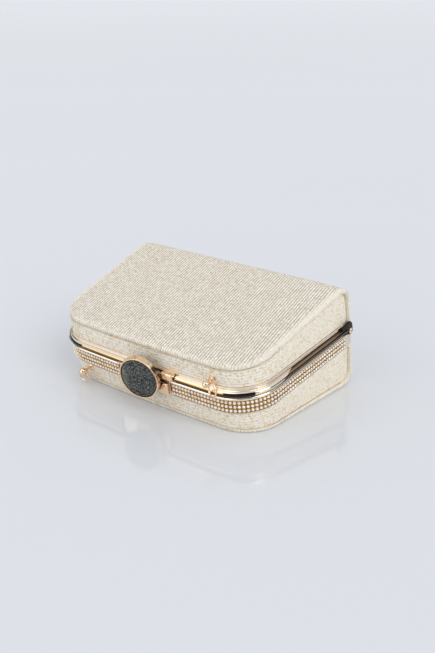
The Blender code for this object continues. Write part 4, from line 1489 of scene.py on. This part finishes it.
# ------------------------------------------------------------------------------------ clasp
@dataclass
class Clasp:
    """Round beaded knob on a rocking lever, its housing and the keeper."""

    palette: Palette
    x: float = 5.5
    z: float = 0.85
    radius: float = 14.7
    rear: float = 5.9
    front: float = 12.9
    pin: tuple[float, float] = (-4.2, 3.5)
    bead_r: float = 0.36
    yaw: float = 10.0
    bore_r: float = 1.15
    pin_r: float = 0.9
    face_pitch: float = 0.70
    face_step: float = 0.72
    rim_grain_count: int = 84
    squeeze_from: float = 8.0
    deepest: float = 3.84  # how near the turned case's rear would come to the frame line, unsqueezed
    rear_limit: float = 6.02  # just in front of the spring

    def yawed(self, obj: bpy.types.Object) -> bpy.types.Object:
        """Turns a piece of the knob to the right about the middle of its face."""
        middle = Matrix.Translation((self.x, -self.front, 0.0))
        turn = middle @ Matrix.Rotation(math.radians(self.yaw), 4, "Z") @ middle.inverted()
        turn = turn @ BAG.matrix().inverted()
        obj.data.transform(turn)
        for vertex in obj.data.vertices:
            vertex.co.y = -self.clear_of_pin(-vertex.co.y)
        obj.data.transform(BAG.matrix())
        return obj

    def clear_of_pin(self, u: float) -> float:
        """Squeezes the rear of the turned case so that it stays in front of the pin, spring and lugs.

        Args:
            u: distance in front of the frame line.

        Returns:
            The squeezed distance.
        """
        if u >= self.squeeze_from:
            return u
        share = (u - self.deepest) / (self.squeeze_from - self.deepest)
        return self.rear_limit + share * (self.squeeze_from - self.rear_limit)

    def housing(self) -> None:
        """Two lugs on a back plate, bored for the pin."""
        parts = [
            block("clasp_housing_plate", (-14.0, 27.8), (-2.1, -1.7), (0.9, 5.7), 0.08, 2),
            block("lug_left", (-14.0, -8.0), (-5.7, -1.75), (0.9, 5.7), 0.7),
            block("lug_right", (18.2, 27.8), (-5.8, -1.75), (0.9, 5.9), 1.1, 6),
        ]
        body = joined("clasp_lugs", parts)
        cut_by(body, [rod("bore", self.bore_r, (-15.0, 26.6), self.pin, 0.0)])
        smooth_by_angle(body, 40.0)
        dress(body, self.palette.rose, Body.UPPER, Slot.ROSE, "clasp_housing")

    def keeper(self) -> None:
        """Keeper plate with the catch ledge and the block beside the knob."""
        parts = [
            block("keeper", (-10.0, 22.4), (-2.4, -1.7), (-11.6, -1.4), 0.15, 3),
            block("ledge", (0.0, 12.0), (-3.8, -2.2), (-7.2, -5.4), 0.3),
            block("keeper_block", (14.5, 22.4), (-5.5, -2.2), (-11.0, -2.2), 1.0, 6),
        ]
        body = joined("keeper_with_ledge", parts)
        smooth_by_angle(body, 40.0)
        dress(body, self.palette.rose, Body.LOWER, Slot.ROSE, "keeper_plate")

    def lever(self) -> None:
        """Rocking lever: hub, tongue and inward tooth."""
        parts = [
            block("lever_hub", (-7.0, 11.6), (-5.5, -2.75), (1.6, 5.4), 0.4),
            block("tongue", (0.0, 10.0), (-5.5, -4.5), (-9.0, 2.4), 0.25),
            block("tooth", (0.6, 9.4), (-5.0, -4.15), (-9.0, -7.6), 0.2),
        ]
        body = joined("rocking_lever", parts)
        cut_by(body, [rod("bore", self.bore_r, (-8.0, 12.6), self.pin, 0.0)])
        smooth_by_angle(body, 40.0)
        dress(body, self.palette.rose, Body.CLASP, Slot.ROSE, "clasp_lever")
        pin = rod("lever_pin", self.pin_r, (-13.2, 26.3), self.pin, 0.15)
        dress(pin, self.palette.steel, Body.UPPER, Slot.STEEL, "clasp_pin")
        spring = frame["nodes"]["clasp_spring"]
        spring.data.materials.clear()
        spring.data.materials.append(self.palette.steel)

    def bezel(self) -> None:
        """The knob's case with a rounded front rim."""
        r, f, b = self.radius, self.front, self.rear
        profile = [(0.0, b), (11.9, b), (12.2, b + 0.12), (12.35, b + 0.4), (12.4, b + 1.1)]
        profile += [(r - 1.3, b + 1.2)]
        shoulder, lip = 1.1, 0.45
        profile += [
            (r - 1.3 + shoulder * math.sin(a), b + 2.3 - shoulder * math.cos(a))
            for a in np.linspace(0.2, 0.5 * math.pi, 8)
        ]
        profile += [(r - 0.2, f - 1.2), (r - 0.08, f - 0.9), (r - 0.05, f - 0.5)]
        profile += [
            (r - 0.5 + lip * math.cos(a), f - 0.5 + lip * math.sin(a)) for a in np.linspace(0.25, math.pi, 9)
        ]
        profile += [(r - 1.0, f - 1.9), (0.0, f - 1.9)]
        obj = turned("knob_case", profile, (self.x, self.z), 96)
        self.band(obj)
        smooth_by_angle(obj, 35.0)
        dress(self.yawed(obj), self.palette.drum, Body.CLASP, Slot.ROSE, "knob_bezel")
        stem = turned("knob_neck", [(0.0, 5.55), (3.2, 5.55), (3.2, b + 1.7), (0.0, b + 1.7)], (5.0, 0.6), 40)
        smooth_by_angle(stem, 40.0)
        dress(stem, self.palette.rose, Body.CLASP, Slot.ROSE, "knob_stem")

    def band(self, obj: bpy.types.Object) -> None:
        """Stores on the case how far round its side each point is, and where its rear groove is, which place
        the painted reflection stripes and the painted groove shade.

        Args:
            obj: the case, before it is turned to the right.
        """
        places = BAG.matrix().inverted()
        turns, grooves = [], []
        for vertex in obj.data.vertices:
            place = places @ vertex.co
            turns.append((math.atan2(place.x - self.x, place.z - self.z) / (2.0 * math.pi)) % 1.0)
            grooves.append(1.0 if -place.y < self.rear + 1.25 else 0.0)
        paint(obj, "drum_turn", np.array(turns))
        paint(obj, "drum_groove", np.array(grooves))

    def dome(self, r: float) -> float:
        """Distance in front of the frame line of the beaded face at a radius from its middle."""
        return self.front - 0.35 + 0.75 * (1.0 - (r / 14.0) ** 2)

    def face(self) -> None:
        """The dark backing dome, its rings of tiny beads and the milled rim of small gold grains."""
        inside = self.radius - 1.15
        radii = np.linspace(inside, 0.0, 14)
        profile = [(0.0, self.front - 1.85), (inside, self.front - 1.85)]
        profile += [(r, self.dome(r) - 0.35) for r in radii]
        back = turned("bead_backing", profile, (self.x, self.z), 64)
        smooth_by_angle(back, 40.0)
        dress(self.yawed(back), self.palette.backing, Body.CLASP, Slot.CAVIAR, "knob_face")
        places: list[tuple[float, float, float]] = []
        ring = 0
        while ring * self.face_pitch < inside - 0.3:
            r = ring * self.face_pitch
            count = max(1, int(2.0 * math.pi * r / self.face_step))
            for k in range(count):
                a = 2.0 * math.pi * (k + 0.37 * ring) / count
                places.append((r * math.cos(a), self.dome(r) - 0.3, r * math.sin(a)))
            ring += 1
        beads = self.grains("face_beads", places, self.bead_r, 6, "bead_tone_and_painted_light")
        dress(self.yawed(beads), self.palette.caviar, Body.CLASP, Slot.CAVIAR)
        rim = [
            ((self.radius - 0.48) * math.cos(a), self.front - 0.12, (self.radius - 0.48) * math.sin(a))
            for a in np.linspace(0.0, 2.0 * math.pi, self.rim_grain_count, endpoint=False)
        ]
        grains = self.grains("rim_grains", rim, 0.5, 8, "bead_tone_and_painted_light")
        dress(self.yawed(grains), self.palette.rose, Body.CLASP, Slot.ROSE)

    def grains(
        self,
        name: str,
        places: Sequence[tuple[float, float, float]],
        radius: float,
        around: int,
        tone: str,
    ) -> bpy.types.Object:
        """Many small closed beads in one mesh.

        Args:
            name: name of the piece.
            places: (x, distance in front, z) of each bead from the knob's axis.
            radius: radius of a bead.
            around: sides of a bead.
            tone: name of the per-bead attribute: a random tone, with painted light that lightens the beads
                towards the left.
        """
        rng = np.random.default_rng(11)
        rings = [(math.sin(a) * radius, math.cos(a) * radius) for a in (0.55, 1.2, 1.9)]
        verts, faces, tones = [], [], []
        for x, u, z in places:
            start = len(verts)
            verts.append((self.x + x, -(u + radius), self.z + z))
            for r, h in rings:
                for k in range(around):
                    a = 2.0 * math.pi * k / around
                    verts.append((self.x + x + r * math.cos(a), -(u + h), self.z + z + r * math.sin(a)))
            verts.append((self.x + x, -(u - 0.7 * radius), self.z + z))
            end = len(verts) - 1
            for k in range(around):
                j = (k + 1) % around
                faces.append((start, start + 1 + k, start + 1 + j))
                for i in range(2):
                    a0, b0 = start + 1 + i * around, start + 1 + (i + 1) * around
                    faces.append((a0 + k, b0 + k, b0 + j, a0 + j))
                last = start + 1 + 2 * around
                faces.append((last + k, end, last + j))
            # Painted light: beads towards the knob's left get a lighter tone.
            left_painted_light = 0.45 * max(0.0, min(1.0, (-x - 7.0) / 6.0))
            tones += [min(1.0, left_painted_light + float(rng.uniform(0.0, 1.0)) ** 1.8)] * (end - start + 1)
        obj = mesh_piece(name, np.array(verts), faces)
        paint(obj, tone, np.array(tones))
        smooth_by_angle(obj, 75.0)
        return obj

    def build(self) -> None:
        """Builds the whole clasp."""
        self.housing()
        self.keeper()
        self.lever()
        self.bezel()
        self.face()


# ------------------------------------------------------------------------------------ hanging rings
@dataclass
class RingFitting:
    """A turned post with a ball end and the ring that hangs by its eye from the post's neck."""

    label: str
    x: float
    z: float
    plane: float
    hang: float
    lean: float
    post_body: Body
    ring_body: Body
    palette: Palette
    ball_r: float = 2.6
    ring_r: float = 4.5
    wire_r: float = 0.62
    eye_r: float = 1.75
    eye_wire_r: float = 0.36
    eye_gap: float = 0.3
    neck_spare: float = 1.05
    neck_r: float = 0.9

    def post(self) -> None:
        """Turns the post: stepped foot, neck and ball."""
        foot = -(float(np.interp(abs(self.x), *BAG.plan(-0.3, 100.0)[:40].T)) - 0.25)
        neck_end = self.plane + self.neck_spare
        steps = [(0.0, 0.0), (2.9, 0.0), (3.1, 0.15), (3.1, 0.45), (2.9, 0.65), (2.0, 0.7)]
        steps += [(1.8, 0.95), (1.2, 1.15), (self.neck_r, 1.3)]
        profile = [(r, foot + rise) for r, rise in steps]
        profile += [(self.neck_r, neck_end)]
        start = math.asin(self.neck_r / self.ball_r) + 0.06
        centre = neck_end + self.ball_r * math.cos(start)
        profile += [
            (self.ball_r * math.sin(a), centre - self.ball_r * math.cos(a))
            for a in np.linspace(start, math.pi, 20)
        ]
        post = turned(f"ring_post_turned_{self.label}", profile, (self.x, self.z), 44)
        smooth_by_angle(post, 40.0)
        dress(post, self.palette.rose, self.post_body, Slot.ROSE, f"ring_post_{self.label}")

    def torus(self, name: str, radius: float, wire: float, drop: float) -> bpy.types.Object:
        """A round wire loop standing across the post, its middle a distance below the post."""
        deselect()
        bpy.ops.mesh.primitive_torus_add(
            major_segments=64,
            minor_segments=16,
            major_radius=radius,
            minor_radius=wire,
            location=(0.0, 0.0, 0.0),
        )
        loop = bpy.context.object
        loop.name = name
        lower = Matrix.Translation((0.0, 0.0, -drop)) @ Matrix.Rotation(0.5 * math.pi, 4, "X")
        leaned = Matrix.Rotation(math.radians(-self.lean), 4, "X")
        swing = Matrix.Rotation(math.radians(-self.hang), 4, "Y") @ leaned
        place = Matrix.Translation((self.x, -self.plane, self.z)) @ swing @ lower
        loop.data.transform(BAG.matrix() @ place)
        face_outwards(loop)
        return loop

    def build(self) -> None:
        """Builds post and ring."""
        self.post()
        eye_drop = self.eye_r - self.eye_wire_r - self.neck_r - self.eye_gap
        ring_drop = eye_drop + self.eye_r + self.ring_r - 0.35
        eye = self.torus("eye", self.eye_r, self.eye_wire_r, eye_drop)
        hoop = self.torus("hoop", self.ring_r, self.wire_r, ring_drop)
        ring = joined(f"hanging_ring_{self.label}", [hoop, eye])
        smooth_by_angle(ring, 50.0)
        dress(ring, self.palette.rose, self.ring_body, Slot.ROSE, f"ring_{self.label}")


# ------------------------------------------------------------------------------------ seam threads
@dataclass
class SeamThreads:
    """Twisted gold thread where the cloth meets the frame and the panels."""

    palette: Palette
    radius: float = 0.17
    sides: int = 6

    def thread(self, name: str, line: Points, body: Body) -> None:
        """A thin tube along bag-frame points."""
        ahead = np.gradient(line, axis=0)
        ahead /= np.linalg.norm(ahead, axis=1)[:, None]
        up = np.array([0.0, 0.0, 1.0])
        side = np.cross(ahead, up)
        side /= np.linalg.norm(side, axis=1)[:, None]
        over = np.cross(side, ahead)
        verts = []
        for k, (p, s, o) in enumerate(zip(line, side, over)):
            r = self.radius * (1.0 + 0.18 * math.sin(k * 2.4))
            for j in range(self.sides):
                a = 2.0 * math.pi * j / self.sides
                verts.append(p + s * r * math.cos(a) + o * r * math.sin(a))
        faces = list(grid_faces(len(line), self.sides, loop=True)) + end_caps(len(line), self.sides)
        obj = mesh_piece(name, np.array(verts), faces)
        smooth_by_angle(obj, 60.0)
        dress(obj, self.palette.thread, body, Slot.FABRIC)

    def build(self) -> None:
        """Builds the four runs of thread."""
        runs = (("lower", Half.LOWER, Body.LOWER, -13.2), ("upper", Half.UPPER, Body.UPPER, 6.25))
        for label, half, body, z_frame in runs:
            plan = BAG.full_plan(0.15, 100.0, front=120, corner=90, side=160)
            at_frame = np.column_stack([plan, np.full(len(plan), z_frame)])
            self.thread(f"{label}_frame_thread", at_frame, body)
            plan = BAG.full_plan(0.05, 98.0, front=120, corner=90, side=160)
            depth = Wall(half, self.palette).floor_z(plan[:, 1], BAG.wrap_t + 0.1)
            at_panel = np.column_stack([plan, -half.value * depth])
            self.thread(f"{label}_panel_thread", at_panel, body)


# ------------------------------------------------------------------------------------ studio
def direction(azimuth: float, elevation: float) -> Vector:
    """Direction from the bag, azimuth from the front to the right, both in degrees.

    Args:
        azimuth: degrees from the front, to the right.
        elevation: degrees above the floor.

    Returns:
        A unit vector.
    """
    a, e = math.radians(azimuth), math.radians(elevation)
    return Vector((math.sin(a) * math.cos(e), -math.cos(a) * math.cos(e), math.sin(e)))


@dataclass
class Studio:
    """Pale floor, soft lights, dark cards for the metal and the camera."""

    camera_at: tuple[float, float, float] = (0.36598, -0.42243, 0.27279)
    azimuth: float = 39.2275
    elevation: float = 22.5655
    roll: float = -0.94988
    lens: float = 48.339
    card_distance: float = 1.5
    surround: Rgb = (0.745, 0.767, 0.807)

    def floor(self) -> None:
        """A wide pale floor with a faint gloss."""
        deselect()
        bpy.ops.mesh.primitive_plane_add(size=60.0, location=(0.0, 0.0, 0.0))
        obj = bpy.context.object
        obj.name = "studio_floor"
        material, g, shader = new_material("pale_floor")
        place = g.node("ShaderNodeTexCoord")
        clouds = g.noise(place.outputs["Object"], 1.3, 2.0)
        pale = g.mix(clouds, (0.735, 0.75, 0.775, 1.0), (0.755, 0.77, 0.795, 1.0))
        g.feed(shader.inputs["Base Color"], pale)
        shader.inputs["Roughness"].default_value = 0.09
        shader.inputs["Specular IOR Level"].default_value = 0.5
        obj.data.materials.append(material)

    def card(
        self, name: str, azimuth: float, elevation: float, size: tuple[float, float], power: float
    ) -> None:
        """A card near the bag that only shows in reflections, black or glowing."""
        deselect()
        bpy.ops.mesh.primitive_plane_add(size=1.0, location=(0.0, 0.0, 0.0))
        obj = bpy.context.object
        obj.name = name
        obj.data.transform(Matrix.Diagonal((size[0], size[1], 1.0, 1.0)))
        out = direction(azimuth, elevation)
        obj.location = out * self.card_distance + Vector((0.0, 0.0, 0.03))
        obj.rotation_euler = (-out).to_track_quat("Z", "Y").to_euler()
        material, _, shader = new_material(name)
        shader.inputs["Base Color"].default_value = (0.004, 0.004, 0.004, 1.0)
        shader.inputs["Roughness"].default_value = 0.9
        shader.inputs["Specular IOR Level"].default_value = 0.0
        shader.inputs["Emission Color"].default_value = (1.0, 0.98, 0.95, 1.0)
        shader.inputs["Emission Strength"].default_value = power
        obj.data.materials.append(material)
        obj.visible_camera = False
        obj.visible_diffuse = False
        obj.visible_shadow = False

    def world(self) -> None:
        """An even pale surround."""
        world = bpy.data.worlds.new("studio")
        bpy.context.scene.world = world
        world.use_nodes = True
        back = world.node_tree.nodes["Background"]
        back.inputs["Color"].default_value = (*self.surround, 1.0)
        back.inputs["Strength"].default_value = 1.0

    def sun(
        self, name: str, azimuth: float, elevation: float, strength: float, spread: float, colour: Rgb
    ) -> None:
        """A soft even light from one direction; azimuth from the front, to the right."""
        data = bpy.data.lights.new(name, "SUN")
        data.energy = strength
        data.angle = math.radians(spread)
        data.color = colour
        obj = bpy.data.objects.new(name, data)
        bpy.context.scene.collection.objects.link(obj)
        towards = direction(azimuth, elevation)
        obj.rotation_euler = towards.to_track_quat("Z", "Y").to_euler()

    def camera(self) -> None:
        """The camera at the display angle."""
        a, r = math.radians(self.azimuth), math.radians(self.roll)
        back = direction(self.azimuth, self.elevation)
        right = Vector((math.cos(a), math.sin(a), 0.0))
        up = back.cross(right)
        right, up = right * math.cos(r) + up * math.sin(r), up * math.cos(r) - right * math.sin(r)
        data = bpy.data.cameras.new("display_camera")
        data.sensor_width = 36.0
        data.lens = self.lens
        data.clip_start = 0.01
        data.clip_end = 100.0
        obj = bpy.data.objects.new("display_camera", data)
        bpy.context.scene.collection.objects.link(obj)
        turn = Matrix((right, up, back)).transposed().to_4x4()
        obj.matrix_world = Matrix.Translation(self.camera_at) @ turn
        bpy.context.scene.camera = obj

    def build(self) -> None:
        """Sets the whole studio."""
        bpy.context.scene.view_settings.view_transform = "Standard"
        self.world()
        self.floor()
        self.sun("soft_key_right", 78.0, 38.0, 0.9, 40.0, (1.0, 0.99, 0.96))
        self.sun("soft_front", -20.0, 18.0, 0.52, 60.0, (1.0, 0.99, 0.97))
        for name, azimuth, elevation, size, power in self.cards():
            self.card(name, azimuth, elevation, size, power)
        self.camera()

    def cards(self) -> list[tuple[str, float, float, tuple[float, float], float]]:
        """Name, azimuth and elevation in degrees, size in metres and brightness of each card."""
        return [
            ("card_behind_camera", 48.0, 24.0, (1.3, 0.85), 0.0),
            ("card_left", -88.0, 24.0, (1.3, 0.4), 0.0),
            ("card_right_rear", 130.0, 14.0, (1.7, 0.7), 0.0),
            ("card_top_bright", -40.0, 62.0, (1.1, 0.8), 1.7),
        ]


def main() -> None:
    """Builds the bag piece by piece, then the studio."""
    logging.basicConfig(level=logging.INFO, format="%(name)s: %(message)s")
    palette = Palette()
    for half in Half:
        Cover(half, palette).build()
        Wall(half, palette).build()
    BackHinge(palette).build()
    MetalFrame(palette).build()
    CrystalBand(palette).build()
    Clasp(palette).build()
    RingFitting(
        label="left",
        x=-56.0,
        z=-15.4,
        plane=3.8,
        hang=-30.0,
        lean=4.0,
        post_body=Body.LOWER,
        ring_body=Body.RING_LEFT,
        palette=palette,
        ball_r=2.6,
    ).build()
    RingFitting(
        label="right",
        x=57.0,
        z=9.0,
        plane=2.6,
        hang=58.0,
        lean=28.0,
        post_body=Body.UPPER,
        ring_body=Body.RING_RIGHT,
        palette=palette,
        ball_r=2.35,
    ).build()
    SeamThreads(palette).build()
    Studio().build()


if __name__ == "__main__":
    main()
